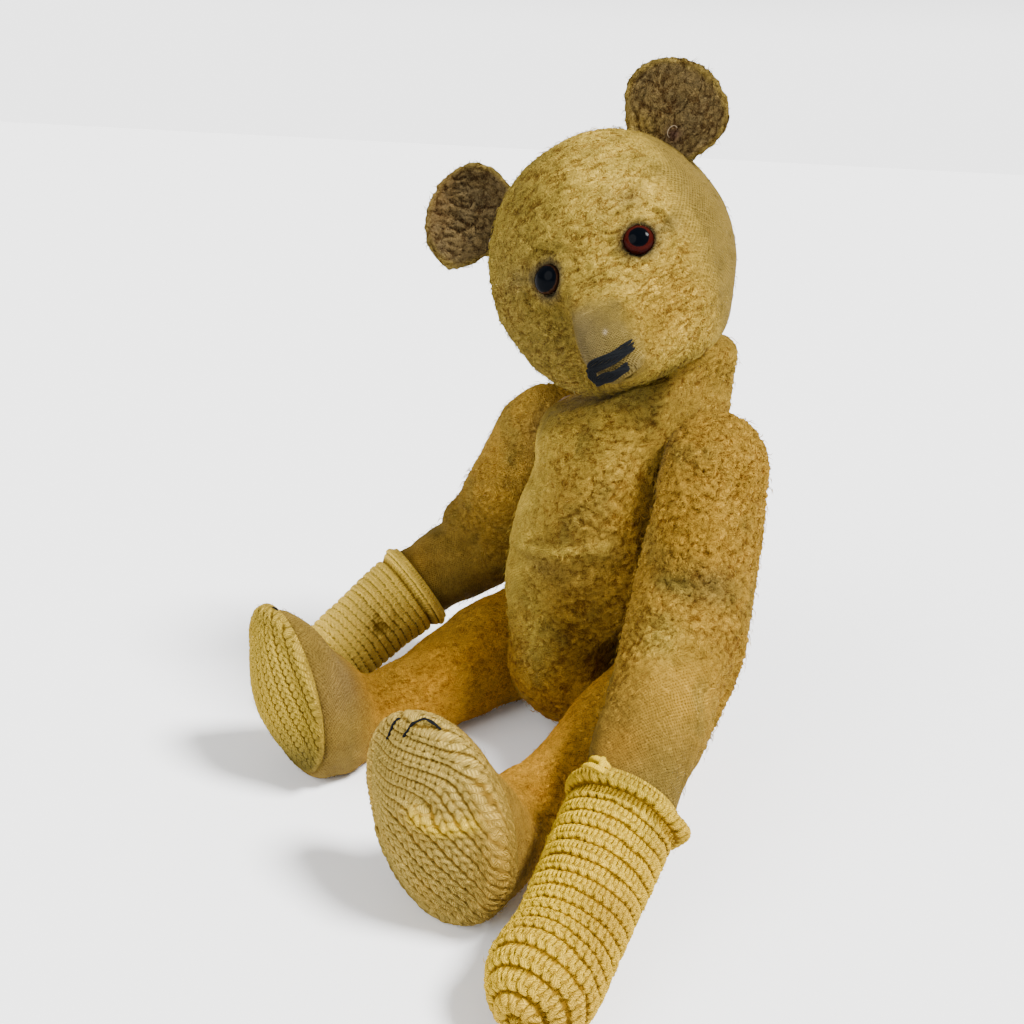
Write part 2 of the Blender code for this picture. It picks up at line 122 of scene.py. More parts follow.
def patch(p, centre, radius):
    """1 at centre, fading out over radius (one number, or three for an oval)."""
    return np.exp(-(((p - centre) / radius) ** 2).sum(axis=-1))


def line_mask(p, points, wide):
    """1 on a line through points, fading out over wide."""
    best = np.full(p.shape[:-1], 1e9)
    points = np.array(points, float)
    for a, b in zip(points, points[1:]):
        t = np.clip(((p - a) @ (b - a)) / ((b - a) @ (b - a)), 0, 1)
        best = np.minimum(best, np.linalg.norm(p - a - t[..., None] * (b - a), axis=-1))
    return np.exp(-(best / wide) ** 2)


def plane_side(p, point, away):
    """How far p is past a plane, along away."""
    return (p - point) @ np.asarray(away, float)


def press_flat(p, point, away, soft=0.8):
    """Pushes what is past a plane back to it, with a rounded edge."""
    over = plane_side(p, point, away)
    keep = -soft * np.logaddexp(0, -over / soft)
    return p + (keep - over)[..., None] * np.asarray(away, float)


def from_axis(p, point, axis):
    """How far p is from a line through point along axis."""
    off = p - point
    return np.linalg.norm(off - (off @ axis)[..., None] * axis, axis=-1)


def raised(p, spots=(), lines=()):
    """Height of lumps, below 0 for hollows: spots of (height, centre, radius), lines of (height, points, width)."""
    total = np.zeros(p.shape[:-1])
    for height, centre, radius in spots:
        total += height * patch(p, centre, radius)
    for height, points, wide in lines:
        total += height * line_mask(p, points, wide)
    return total


def lengths_along(points):
    """How far along a line each of its points is."""
    return np.concatenate([[0], np.cumsum(np.linalg.norm(np.diff(points, axis=0), axis=1))])


def round_turn(sides):
    """Angles spaced evenly round a ring."""
    return np.arange(sides) * 2 * math.pi / sides


def curve_between(a, b, c, d, t):
    """A smooth curve from b to c, coming from a and going on to d."""
    return 0.5 * (2 * b + (c - a) * t + (2 * a - 5 * b + 4 * c - d) * t ** 2 + (3 * b - a - 3 * c + d) * t ** 3)


# ---- frames -------------------------------------------------------------------------------------------------
def frame_of(*steps):
    """A 4x4 frame from steps such as ("T", x, y, z) in mm or ("Z", degrees)."""
    m = Matrix.Identity(4)
    for step in steps:
        if step[0] == "T":
            m = m @ Matrix.Translation(step[1:])
        else:
            m = m @ Matrix.Rotation(math.radians(step[1]), 4, step[0])
    return np.array(m)


def placed(p, place):
    """Points of a part's own frame, in the bear's frame."""
    return p @ place[:3, :3].T + place[:3, 3]


def local(p, place):
    """Points, or one point, given in the bear's frame, in a part's own frame."""
    return (np.asarray(p, float) - place[:3, 3]) @ place[:3, :3]


NECK = (("T", 11.5, -1, 183.5), ("Z", 37), ("Y", -27))
SKULL = (*NECK, ("T", 0, 0, 46))
HEAD = frame_of(*SKULL)
NECK_POINT, NECK_AXIS = frame_of(*NECK)[:3, 3], frame_of(*NECK)[:3, 2]

# Outward, forward and down from the shoulder seam along each arm; the right arm has collapsed at its elbow.
ARM = {
    "left": {"joint": (38.5, -3, 149), "cuff": 152, "line": [
        (18, -2, -25), (18, 4, 0), (26, 16, 30), (36, 33, 60), (46, 55, 81), (56.5, 80, 99), (69, 111, 115),
        (81, 139, 127), (90.5, 166, 131.5)]},
    "right": {"joint": (-31, -3, 149), "cuff": 113, "line": [
        (15, 0, -16), (17, 2, 4), (25, 9, 36), (38, 15, 63), (49, 27, 79), (57.5, 42, 91), (62.5, 68, 107),
        (63.5, 95, 123), (63, 122, 135)]},
}
ARM_SIZE = [(21, 22), (22.5, 24), (23, 25.5), (24, 25.5), (22, 24), (19.5, 21), (17.5, 18.5), (16, 17), (14.5, 15.5)]
LEG = {
    "left": {"joint": (25, -12, 33), "splay": 9, "toe_out": -5.5, "lift": 3, "toe_drop": 4, "toe_twist": 10,
             "foot": (1.05, 1.0)},
    "right": {"joint": (-25, -5, 33), "splay": 0, "toe_out": 6.5, "lift": 3.2, "toe_drop": 7, "toe_twist": 4,
              "foot": (0.92, 0.99)},
}
EAR = {
    "left": {"centre": (46.5, 4, 48), "tilt": 44, "turn": 12, "across": 23.8, "tall": 22, "narrow": 0.2, "slant": 0.02,
             "rim": 0.6, "hair": (2.5, -6)},
    "right": {"centre": (-47, 4, 45), "tilt": 50, "turn": 12, "across": 25.2, "tall": 21.2, "narrow": 0.34,
              "slant": 0.13, "rim": 0.3, "hair": (-9, -13)},
}
# Rows of a form's middle line and half sizes: x, y, z, wide, tall; a leg's last number is its share of the foot's turn.
TORSO_ROWS = [
    (-1, -3, -4, 20, 20), (-1, -5, 8, 24, 26), (-1, -8, 20, 29, 36), (-1, -10, 38, 34, 44), (0, -8, 57, 40, 46.5),
    (1, -6, 75, 45, 49), (2, -4, 93, 48, 50), (3, -3, 112, 47, 49), (4, -1, 138, 43, 47), (4, 0, 154, 40, 45),
    (6, 2, 168, 38, 41), (8, 4, 187, 35, 38), (10, 6, 204, 31, 33),
]
HEAD_ROWS = [
    (3, 50, 3, 40, 43), (2.5, 30, 3, 49, 53), (2, 5, 3, 51.5, 54.5), (1, -15, 1, 50.5, 53), (0, -28, -3, 47, 48),
    (0, -38, -9.5, 41.5, 39.5), (0, -46, -17, 34, 30), (0, -55, -22.5, 25, 22.5), (0, -65, -25, 18.5, 18),
    (0, -75, -27.5, 14.5, 14.5), (0, -82, -28, 12.5, 12),
]
LEG_ROWS = [
    (16, 0, 30, 17, 25, 0), (16, 0, 0, 20.5, 31, 0), (19, 4, -37, 20.5, 28, 0), (19.5, 10, -74, 19, 22.5, 0),
    (19, 12, -103, 18.5, 20.5, 0.2), (18.5, 7, -122, 21, 26, 0.6), (18, -2, -134, 25, 34.5, 0.9),
    (18, -8, -146, 28, 39, 1), (18, -9, -152, 28, 39.5, 1),
]
SEAT = {"arm": (33, 116, 20), "leg": (40, 70, 30)}  # flat and rim radius of a limb's round seat, and its depth


def arm_form(side_name, side):
    """The stuffed form of an arm, in the arm's own frame."""
    return Form([(side * out, -forward, -down, *size)
                 for (out, forward, down), size in zip(ARM[side_name]["line"], ARM_SIZE)], (24, 17))


def leg_form(side_name, side):
    """The stuffed form of a leg, in the leg's own frame, with its foot turned, lifted and sized."""
    pose, rows = LEG[side_name], []
    for x, y, z, wide, tall, share in LEG_ROWS:
        wide, tall = (size * (1 + (factor - 1) * share) for size, factor in zip((wide, tall), pose["foot"]))
        rows.append((side * (x + pose["toe_out"] * share), y - pose["lift"] * share, z, wide, tall,
                     pose["toe_drop"] * share, -pose["toe_twist"] * share))
    return Form(rows, (28, 9), DOWN)


def limb_frame(kind, side_name, side):
    """A limb's own frame, at its joint; a leg's runs down the leg."""
    if kind == "arm":
        return frame_of(("T", *ARM[side_name]["joint"]))
    pose = LEG[side_name]
    return frame_of(("T", *pose["joint"]), ("Z", side * pose["splay"]), ("X", -90))


def limb_seats():
    """The joint, the way out of the trunk and the seat's sizes, for every limb."""
    for kind in ("arm", "leg"):
        for side_name, side in SIDES:
            place = limb_frame(kind, side_name, side)
            yield place[:3, 3], side * place[:3, 0], SEAT[kind]


# ---- stuffed forms ------------------------------------------------------------------------------------------
class Form:
    """A stuffed form: round sections along a bending middle line, rounded off at both ends."""

    def __init__(self, rows, ends, axis=None):
        rows = np.array(rows, float)
        last = len(rows) - 1
        at = np.linspace(0, last, 161)
        i = np.minimum(at.astype(int), last - 1)
        four = (rows[np.clip(i + k, 0, last)] for k in (-1, 0, 1, 2))
        self.fine = curve_between(*four, (at - i)[:, None])
        self.reach = lengths_along(self.fine[:, :3])
        self.whole = self.reach[-1]
        self.ends, self.axis = ends, axis

    def row(self, s):
        """Middle and half sizes at these distances along the form."""
        return np.stack([np.interp(s, self.reach, column) for column in self.fine.T], axis=-1)

    def rounding(self, s):
        """Share of its full size that the form has, less than 1 where its ends round off."""
        total = np.ones_like(s)
        for length, distance in zip(self.ends, (s, self.whole - s)):
            total = total * np.sqrt(np.clip(1 - np.clip(1 - distance / length, 0, 1) ** 2, 0, 1))
        return total

    def stations(self, count, busy=lambda s: 1.0, low=0.0, high=None):
        """Where the rings go: evenly along the skin, closer together where busy is higher. Also the way walked."""
        high = self.whole if high is None else high
        bend = np.linspace(0, math.pi / 2, 400)
        dense = np.concatenate([self.ends[0] * (1 - np.cos(bend)),
                                np.linspace(self.ends[0], self.whole - self.ends[1], 1200)[1:-1],
                                self.whole - self.ends[1] * (1 - np.cos(bend[::-1]))])
        dense = np.unique(np.clip(dense, low, high))
        rows = self.row(dense)
        size = self.rounding(dense) * (rows[:, 3] + rows[:, 4]) / 2
        step = np.hypot(np.diff(dense), np.diff(size))
        middle = (dense[1:] + dense[:-1]) / 2
        weighed = np.concatenate([[0], np.cumsum(step * busy(middle))])
        walked = np.concatenate([[0], np.cumsum(step)])
        s = np.interp(np.linspace(0, weighed[-1], count + 1), weighed, dense)
        return s, np.interp(s, dense, walked)

    def rings(self, s, sides):
        """Rings of points round the middle line, square to it or to the form's axis."""
        rows = self.row(s)
        if self.axis is None:
            along = unit(np.stack([np.interp(s, self.reach, g) for g in
                                   np.gradient(self.fine[:, :3], self.reach, axis=0).T], axis=-1))
        else:
            along = np.tile(np.array(self.axis, float), (len(s), 1))
        across = np.tile([1.0, 0, 0], (len(s), 1))
        if rows.shape[1] > 5:
            lean, twist = np.radians(rows[:, 5]), np.radians(rows[:, 6])
            y, z = along[:, 1].copy(), along[:, 2].copy()
            along[:, 1], along[:, 2] = y * np.cos(lean) - z * np.sin(lean), y * np.sin(lean) + z * np.cos(lean)
            across = np.stack([np.cos(twist), np.sin(twist), 0 * twist], axis=-1)
        across = unit(across - along * (along * across).sum(axis=1, keepdims=True))
        upward = np.cross(along, across)
        turn = round_turn(sides)
        size = self.rounding(s)[:, None]
        wide, tall = rows[:, 3:4] * size, rows[:, 4:5] * size
        return (rows[:, None, :3] + across[:, None] * (wide * np.cos(turn))[..., None]
                + upward[:, None] * (tall * np.sin(turn))[..., None])


def outward(grid):
    """Outward directions of rings of points."""
    across = np.roll(grid, -1, axis=1) - np.roll(grid, 1, axis=1)
    along = np.gradient(grid, axis=0)
    n = np.cross(across, along)
    n[0], n[-1] = n[1].mean(axis=0), n[-2].mean(axis=0)
    return unit(n)


def soften(values, times=1):
    """Rings of values, each evened out with its neighbours."""
    for _ in range(times):
        values = (values + np.roll(values, 1, 1) + np.roll(values, -1, 1)) / 3
        values[1:-1] = (values[1:-1] + values[2:] + values[:-2]) / 3
    return values


def net(rings, sides):
    """Faces of a closed form made of rings, with a single point at each end."""
    k = np.arange(sides)
    j = (k + 1) % sides
    first = 1 + np.arange(rings - 2)[:, None] * sides
    quads = np.stack([first + k, first + j, first + sides + j, first + sides + k], axis=-1).reshape(-1, 4)
    tip = 1 + (rings - 1) * sides
    start = np.stack([0 * k, 1 + j, 1 + k], axis=-1)
    end = np.stack([0 * k + tip, tip - sides + k, tip - sides + j], axis=-1)
    return quads, np.concatenate([start, end])


def flat_list(grid):
    """Rings of points as one list, the end rings as single points."""
    return np.concatenate([grid[:1, 0], grid[1:-1].reshape(-1, *grid.shape[2:]), grid[-1:, 0]])


# ---- meshes -------------------------------------------------------------------------------------------------
class Cloth:
    """Points, faces and what the finish needs to know at every point, gathered for one piece."""

    KINDS = {"tone": "FLOAT_COLOR", "lie": "FLOAT_VECTOR", "thread": "FLOAT_VECTOR"}

    def __init__(self):
        self.points, self.quads, self.tris, self.marks, self.count = [], [], [], [], 0

    def add(self, points, quads, tris, **marks):
        self.points.append(points)
        self.quads.append(np.asarray(quads, int).reshape(-1, 4) + self.count)
        self.tris.append(np.asarray(tris, int).reshape(-1, 3) + self.count)
        self.marks.append((len(points), marks))
        self.count += len(points)

    def piece(self, name, place, finish):
        """Makes the object, its points placed in the bear's frame and kept above the floor."""
        points = placed(np.concatenate(self.points), place)
        points[:, 2] = np.maximum(points[:, 2], LOWEST)
        quads, tris = np.concatenate(self.quads), np.concatenate(self.tris)
        mesh = bpy.data.meshes.new(name)
        mesh.vertices.add(len(points))
        mesh.vertices.foreach_set("co", (points * MM).astype(np.float32).ravel())
        mesh.loops.add(quads.size + tris.size)
        mesh.loops.foreach_set("vertex_index", np.concatenate([quads.ravel(), tris.ravel()]).astype(np.int32))
        mesh.polygons.add(len(quads) + len(tris))
        starts = np.concatenate([np.arange(len(quads)) * 4, quads.size + np.arange(len(tris)) * 3])
        mesh.polygons.foreach_set("loop_start", starts.astype(np.int32))
        mesh.polygons.foreach_set("use_smooth", np.ones(len(starts), bool))
        mesh.update(calc_edges=True)
        for mark in sorted({m for _, marks in self.marks for m in marks}):
            kind = self.KINDS.get(mark, "FLOAT")
            wide = 1 if kind == "FLOAT" else 3
            values = np.concatenate([
                np.broadcast_to(np.asarray(marks.get(mark, np.zeros(wide)), float).reshape(-1, wide), (count, wide))
                for count, marks in self.marks])
            if kind == "FLOAT_COLOR":
                values = np.concatenate([values, np.ones((len(values), 1))], axis=1)
            layer = mesh.attributes.new(mark, kind, "POINT")
            layer.data.foreach_set({"FLOAT": "value", "FLOAT_VECTOR": "vector"}.get(kind, "color"),
                                   values.astype(np.float32).ravel())
        mesh.materials.append(finish)
        obj = bpy.data.objects.new(name, mesh)
        bpy.context.scene.collection.objects.link(obj)
        return obj


SWELL_FRAMES = 20
CLEAR = (0, 0, 1000)  # how far stuffing is lifted while it swells, so that no point meets the floor


def stuff(grid, pinned, pressure, slack, cap):
    """Sews rings of points into cloth, blows it up and returns how far each point moved, at most cap."""
    start = flat_list(grid)
    cloth = Cloth()
    cloth.add(start, *net(grid.shape[0] - 1, grid.shape[1]))
    obj = cloth.piece("stuffing", frame_of(("T", *CLEAR)), None)
    group = obj.vertex_groups.new(name="seams")
    for k, weight in enumerate(flat_list(pinned)):
        group.add([k], float(weight), "REPLACE")
    sewn = obj.modifiers.new("sewn", "CLOTH")
    settings = sewn.settings
    settings.quality = 6
    settings.use_pressure = True
    settings.uniform_pressure_force = pressure
    settings.shrink_min = -slack
    settings.vertex_group_mass = "seams"
    settings.effector_weights.gravity = 0
    sewn.collision_settings.use_collision = False
    sewn.point_cache.frame_start, sewn.point_cache.frame_end = 1, SWELL_FRAMES
    scene = bpy.context.scene
    for f in range(1, SWELL_FRAMES + 1):
        scene.frame_set(f)
    swollen = obj.evaluated_get(bpy.context.evaluated_depsgraph_get()).data
    end = np.empty(len(start) * 3, np.float32)
    swollen.vertices.foreach_get("co", end)
    moved = end.reshape(-1, 3) / MM - CLEAR - start
    bpy.data.objects.remove(obj)
    scene.frame_set(1)
    length = np.linalg.norm(moved, axis=1, keepdims=True)
    moved *= cap * np.tanh(length / cap) / np.maximum(length, 1e-9)
    spread = np.empty_like(grid)
    spread[0], spread[-1] = moved[0], moved[-1]
    spread[1:-1] = moved[1:-1].reshape(grid.shape[0] - 2, grid.shape[1], 3)
    return spread


def finer(values, rings, sides):
    """Values on coarse rings read off on finer ones, smoothly."""
    def take(v, count, axis, closed):
        v = np.moveaxis(v, axis, 0)
        last = len(v) if closed else len(v) - 1
        at = np.arange(count) * len(v) / count if closed else np.linspace(0, last, count)
        i = np.floor(at).astype(int)
        t = (at - i).reshape(-1, *[1] * (v.ndim - 1))
        pick = (lambda k: v[(i + k) % len(v)]) if closed else (lambda k: v[np.clip(i + k, 0, last)])
        return np.moveaxis(curve_between(*(pick(k) for k in (-1, 0, 1, 2)), t), 0, axis)
    return take(take(values, rings, 0, False), sides, 1, True)


# ---- pile ---------------------------------------------------------------------------------------------------
def curls(p, size, stretch, salt):
    """Height of curly pile from 0 in the partings to 1 on the curls, and each curl's own number."""
    q = p * np.asarray(stretch, float)
    q = q + 0.8 * size * np.stack([mottle(q, size * 1.5, salt + k, 2) for k in range(3)], axis=-1)
    near, gap, own = locks(q, size, salt)
    fine_near, _, _ = locks(q + 57.0, size * 0.5, salt + 20)
    dome = (1 - fade(0.0, 1.0, near)) * (0.7 + 0.3 * fade(0.0, 0.3, gap))
    speck = 1 - fade(0.0, 1.0, fine_near)
    matted = 0.5 + 0.5 * mottle(p, size * 2.4, salt + 40, 2)
    return np.clip(0.62 * dome + 0.38 * speck + 0.34 * (matted - 0.5) + 0.06, 0, 1), own


def lie_of(p, out, lay, own, salt, stretch=0.16):
    """Which way the hair lies at each point, and coordinates drawn out along it for the hair's streaks."""
    lay = unit(lay - out * (lay * out).sum(axis=1, keepdims=True))
    side = np.cross(out, lay)
    angle = (own - 0.5) * 2.6 + 0.7 * drift(p, 9.0, salt)
    along = lay * np.cos(angle)[:, None] + side * np.sin(angle)[:, None]
    return along, p - (1 - stretch) * (p * along).sum(axis=1, keepdims=True) * along


def add_hairs(cloth, p, out, along, tone, weight, count, length, thick, seed, stand=0.55):
    """Stray hairs and tips of curls: thin closed tapering spikes, each bent over once."""
    rng = np.random.default_rng(seed)
    at = rng.choice(len(p), count, p=weight / weight.sum())
    root, up, lay = p[at], out[at], along[at]
    side = np.cross(up, lay)
    swing = rng.normal(0, 0.5, (count, 1))
    lay = unit(lay * np.cos(swing) + side * np.sin(swing))
    side = np.cross(up, lay)
    long = length * rng.uniform(0.5, 1.5, (count, 1))
    rise = stand * rng.uniform(0.5, 1.4, (count, 1))
    curl = rng.normal(0, 0.35, (count, 1))
    middle = root + (lay * 0.45 + up * rise) * long * 0.5
    tip = root + (lay * (0.95 + 0.2 * curl) + up * rise * 0.75 + side * curl) * long
    wide = thick * rng.uniform(0.7, 1.3, (count, 1))
    corners = [math.radians(a) for a in (90, 210, 330)]
    lower = [root - up * 0.25 + (side * math.cos(a) + up * math.sin(a) * 0.7) * wide for a in corners]
    upper = [middle + (side * math.cos(a) + up * math.sin(a)) * wide * 0.75 for a in corners]
    rings = lower + upper + [tip]
    points = np.stack(rings, axis=1).reshape(-1, 3)
    base = np.arange(count)[:, None] * len(rings)
    quads = np.concatenate([base + [k, (k + 1) % 3, 3 + (k + 1) % 3, 3 + k] for k in range(3)])
    tris = np.concatenate([base + [3 + k, 3 + (k + 1) % 3, 6] for k in range(3)] + [base + [2, 1, 0]])
    own_tone = tone[at] * rng.uniform(0.8, 1.35, (count, 1))
    cloth.add(points, quads, tris, tone=np.repeat(own_tone, len(rings), axis=0), pile=np.ones(len(points)),
              lie=points, thread=points)


class Paint:
    """The colour at every point of a piece, built up in washes."""

    def __init__(self, p, colour):
        self.p, self.tone = p, np.tile(colour, (*p.shape[:-1], 1))

    def wash(self, colour, mask):
        """Lays a colour over the tone where mask is 1."""
        self.tone = self.tone + (np.asarray(colour) - self.tone) * np.clip(mask, 0, 1)[..., None]

    def spot(self, colour, strength, centre, radius):
        self.wash(colour, strength * patch(self.p, centre, radius))

    def stroke(self, colour, strength, line, wide):
        self.wash(colour, strength * line_mask(self.p, line, wide))

    def scale(self, factor):
        """Lightens the tone where factor is over 1 and darkens it where it is under 1."""
        self.tone = self.tone * np.asarray(factor)[..., None]


class Skin:
    """A fine skin of rings of points, with the way out of it and the cloth's own coordinates at every point.

    s is how far along its form each ring is and walked how far over the skin; join is where round the form the cloth's
    coordinates begin, in degrees.
    """

    def __init__(self, grid, s, walked, join=270):
        self.grid, self.s, self.walked, self.join = grid, s, walked, join
        self.sides = grid.shape[1]
        self.turn = np.tile(round_turn(self.sides), (len(grid), 1))
        self.refresh()

    @classmethod
    def stuffed(cls, form, rings, sides, shape, relax, busy=lambda s: 1.0, join=270):
        """A skin over a form, swollen like stuffed cloth on coarser rings first; shape presses points into place."""
        s, walked = form.stations(rings, busy)
        grid = shape(form.rings(s, sides))
        coarse_s, _ = form.stations(relax["rings"], busy)
        coarse = shape(form.rings(coarse_s, relax["sides"]))
        moved = stuff(coarse, relax["pinned"](coarse, coarse_s), relax["pressure"], relax["slack"], relax["cap"])
        face = outward(coarse)
        swell = (moved * face).sum(axis=-1)
        moved = moved - face * (swell.mean() + relax["sink"])[..., None]
        grid = grid + finer(soften(moved), rings + 1, sides)
        grid[0], grid[-1] = grid[0].mean(axis=0), grid[-1].mean(axis=0)
        return cls(shape(grid), s, walked, join)

    def refresh(self):
        """Works out directions and coordinates again from the rings."""
        self.out_grid = outward(self.grid)
        self.p, self.out = flat_list(self.grid), flat_list(self.out_grid)
        size = np.linalg.norm(self.grid - self.grid.mean(axis=1, keepdims=True), axis=-1).mean(axis=1)
        u = ((self.turn - math.radians(self.join)) % (2 * math.pi) - math.pi) * max(size.max() * 0.9, 1)
        self.thread = flat_list(np.stack([u, self.over_rings(self.walked), 0 * u], axis=-1))

    def over_rings(self, values):
        """One value a ring, given to every point of the ring."""
        return np.tile(values[:, None], (1, self.sides))

    def move(self, push):
        """Moves every point out by push(points) millimetres."""
        distance = push(self.grid.reshape(-1, 3)).reshape(self.grid.shape[:2])
        distance[0], distance[-1] = distance[0].mean(), distance[-1].mean()
        self.grid = self.grid + self.out_grid * distance[..., None]
        self.refresh()

    def net(self):
        return net(len(self.s) - 1, self.sides)


# ---- finishes -----------------------------------------------------------------------------------------------
class Wire:
    """A shader socket that can stand in a sum."""

    def __init__(self, recipe, socket):
        self.recipe, self.socket = recipe, socket

    def sum(self, operation, *others):
        return self.recipe.add("ShaderNodeMath", {"operation": operation},
                               {k: value for k, value in enumerate((self, *others))})

    def __add__(self, other):
        return self.sum("ADD", other)

    def __sub__(self, other):
        return self.sum("SUBTRACT", other)

    def __mul__(self, other):
        return self.sum("MULTIPLY", other)

    def __rsub__(self, other):
        return self.recipe.add("ShaderNodeMath", {"operation": "SUBTRACT"}, {0: other, 1: self})

    __radd__, __rmul__ = __add__, __mul__

    def wave(self, pitch):
        """A sine along this number of millimetres, from -1 to 1."""
        return (self * (2 * math.pi / pitch)).sum("SINE")

    def between(self, low, high):
        """0 below low to 1 above high."""
        return self.recipe.add("ShaderNodeMapRange", {"interpolation_type": "SMOOTHSTEP"},
                               {"Value": self, "From Min": low, "From Max": high})


class Recipe:
    """A finish in the making: one Principled surface and the nodes that feed it."""

    def __init__(self, name, **plain):
        self.finish = bpy.data.materials.new(name)
        self.finish.use_nodes = True
        self.nodes, self.links = self.finish.node_tree.nodes, self.finish.node_tree.links
        self.surface = self.nodes["Principled BSDF"]
        for socket, value in plain.items():
            self.surface.inputs[socket.replace("_", " ")].default_value = value

    def add(self, kind, settings, values, out=0):
        """A node of a kind, with its settings and the values or links of its sockets; gives back one output."""
        node = self.nodes.new(kind)
        for setting, value in settings.items():
            if setting == "stops":
                ramp = node.color_ramp.elements
                while len(ramp) < len(value):
                    ramp.new(0.5)
                for stop, (at, colour) in zip(ramp, value):
                    stop.position, stop.color = at, (*colour[:3], 1)
            else:
                setattr(node, setting, value)
        for socket, value in values.items():
            self.join(value, node.inputs[socket])
        return Wire(self, node.outputs[out])

    def join(self, value, socket):
        if isinstance(value, Wire):
            self.links.new(value.socket, socket)
        elif hasattr(value, "__len__"):
            socket.default_value = (*value[:3], 1)[:len(socket.default_value)]
        else:
            socket.default_value = value

    def mark(self, name, out="Fac"):
        return self.add("ShaderNodeAttribute", {"attribute_name": name}, {}, out)

    def place(self):
        """Where a point is on the object."""
        return self.add("ShaderNodeTexCoord", {}, {}, "Object")

    def grain(self, place, scale, detail=2.0, rough=0.55, out="Fac"):
        return self.add("ShaderNodeTexNoise", {}, {"Vector": place, "Scale": scale, "Detail": detail,
                                                   "Roughness": rough}, out)

    def strands(self, place, scale, swirl):
        """Thin winding lines, 1 along their middles."""
        middle = self.add("ShaderNodeTexNoise", {},
                          {"Vector": place, "Scale": scale, "Detail": 1.5, "Distortion": swirl})
        return 1 - ((middle - 0.5).sum("ABSOLUTE") * 7.0).sum("MINIMUM", 1.0)

    def parts(self, vector):
        node = self.nodes.new("ShaderNodeSeparateXYZ")
        self.join(vector, node.inputs[0])
        return [Wire(self, socket) for socket in node.outputs]

    def scaled(self, colour, amount):
        return self.add("ShaderNodeVectorMath", {"operation": "SCALE"}, {0: colour, "Scale": amount})

    def tinted(self, colour, by):
        return self.add("ShaderNodeVectorMath", {"operation": "MULTIPLY"}, {0: colour, 1: by})

    def mixed(self, first, second, share):
        return self.add("ShaderNodeMix", {"data_type": "RGBA"}, {0: share, 6: first, 7: second}, 2)

    def bump(self, height, distance, strength=1.0):
        return self.add("ShaderNodeBump", {}, {"Height": height, "Distance": distance * MM, "Strength": strength})

    def ready(self, **feeds):
        for socket, value in feeds.items():
            self.join(value, self.surface.inputs[socket.replace("_", " ")])
        return self.finish


def darker(colour, by, lift=0.0):
    """A plain colour made darker or lighter, with its alpha."""
    return [n * by + lift for n in colour[:3]] + [1]


def mohair_finish(name):
    """Hair in streaks and curls over its lie, with painted shade dark in the partings; woven cloth where the pile has
    gone.
    """
    weave = 1.75  # millimetres from thread to thread
    r = Recipe(name, Roughness=1.0, Specular_IOR_Level=0.05)
    tone, pile, bald = r.mark("tone", "Color"), r.mark("pile"), r.mark("bald")
    lie, thread = r.mark("lie", "Vector"), r.mark("thread", "Vector")
    at = r.place()
    curl = r.strands(at, 520.0, 1.6)
    fine = r.strands(at, 1050.0, 1.0)
    streak = r.grain(lie, 1.3, 3.0, 0.6).between(0.36, 0.64)
    u, v, _ = r.parts(thread)
    wander = r.grain(thread, 0.15, 1.0) * 3.0
    dots = (u + wander).wave(weave) * (v + wander).wave(weave * 0.9) * 0.5 + 0.5
    worn = r.grain(thread, 0.7, 3.0, 0.65)
    # Painted shade: root is the tone darkened, and depth mixes towards it down in the partings between curls.
    root = r.tinted(tone, (0.40, 0.30, 0.24))
    depth = (pile * 1.05 + curl * 0.2 + (streak - 0.5) * 0.3 - 0.14).between(0.08, 0.66)
    hair = r.scaled(r.mixed(root, tone, depth), curl * 0.34 + fine * 0.28 + streak * 0.42 + 0.58)
    weft = r.tinted(tone, (0.42, 0.38, 0.28))
    cloth = r.scaled(r.mixed(weft, tone, (dots + (worn - 0.5) * 0.6).between(0.1, 0.6)), worn * 0.8 + 0.8)
    height = (curl + fine * 0.45 + streak * 0.45) * (1 - bald) + (dots * 0.8 + worn * 0.5 + curl * 0.25) * bald
    return r.ready(Base_Color=r.mixed(hair, cloth, bald), Normal=r.bump(height, 0.9))


def yarn_finish(name):
    """Plied cotton or wool: a fine twist along every loop, painted shade down in the holes."""
    r = Recipe(name, Roughness=0.95, Specular_IOR_Level=0.04)
    tone, pile, lie = r.mark("tone", "Color"), r.mark("pile"), r.mark("lie", "Vector")
    along, across, _ = r.parts(lie)
    twist = (along + across * 1.3).wave(1.0) * 0.5 + 0.5
    fluff = r.grain(lie, 2.0, 3.0, 0.65)
    # Painted shade: the yarn darker where the stitches sink into holes.
    hole_shade = r.tinted(tone, (0.24, 0.19, 0.08))
    strand = r.scaled(tone, twist * 0.45 + fluff * 0.6 + 0.46)
    return r.ready(Base_Color=r.mixed(hole_shade, strand, (pile + (fluff - 0.5) * 0.25).between(0.10, 0.70)),
                   Normal=r.bump(twist * 0.7 + fluff, 0.8))


def thread_finish(name, colour):
    """Old stranded thread, dusty where it has worn."""
    r = Recipe(name, Roughness=0.8, Specular_IOR_Level=0.12)
    lie = r.mark("lie", "Vector")
    along, across, _ = r.parts(lie)
    twist = (along + across * 2.0).wave(0.9) * 0.5 + 0.5
    dusty = r.mixed(colour, darker(colour, 1.6, 0.004), r.grain(lie, 1.3, 3.0, 0.6))
    return r.ready(Base_Color=r.scaled(dusty, twist * 0.6 + 0.6), Normal=r.bump(twist, 0.25))


def glass_finish(name, iris, pupil, pupil_share):
    """A glass eye: the pupil and iris painted on its back, under clear glass, scratched a little."""
    r = Recipe(name, Specular_IOR_Level=0.12, IOR=1.18)
    u, _, _ = r.parts(r.mark("thread", "Vector"))
    streaks = r.grain(r.mark("lie", "Vector"), 1.2, 2.0)
    edge = (u + (streaks - 0.5) * 0.05).between(pupil_share - 0.03, pupil_share + 0.03)
    ring = r.scaled(r.mixed(iris, darker(iris, 0.25), u.between(0.8, 1.0)), streaks * 0.9 + 0.55)
    return r.ready(Base_Color=r.mixed(pupil, ring, edge), Roughness=streaks * 0.08 + 0.05)


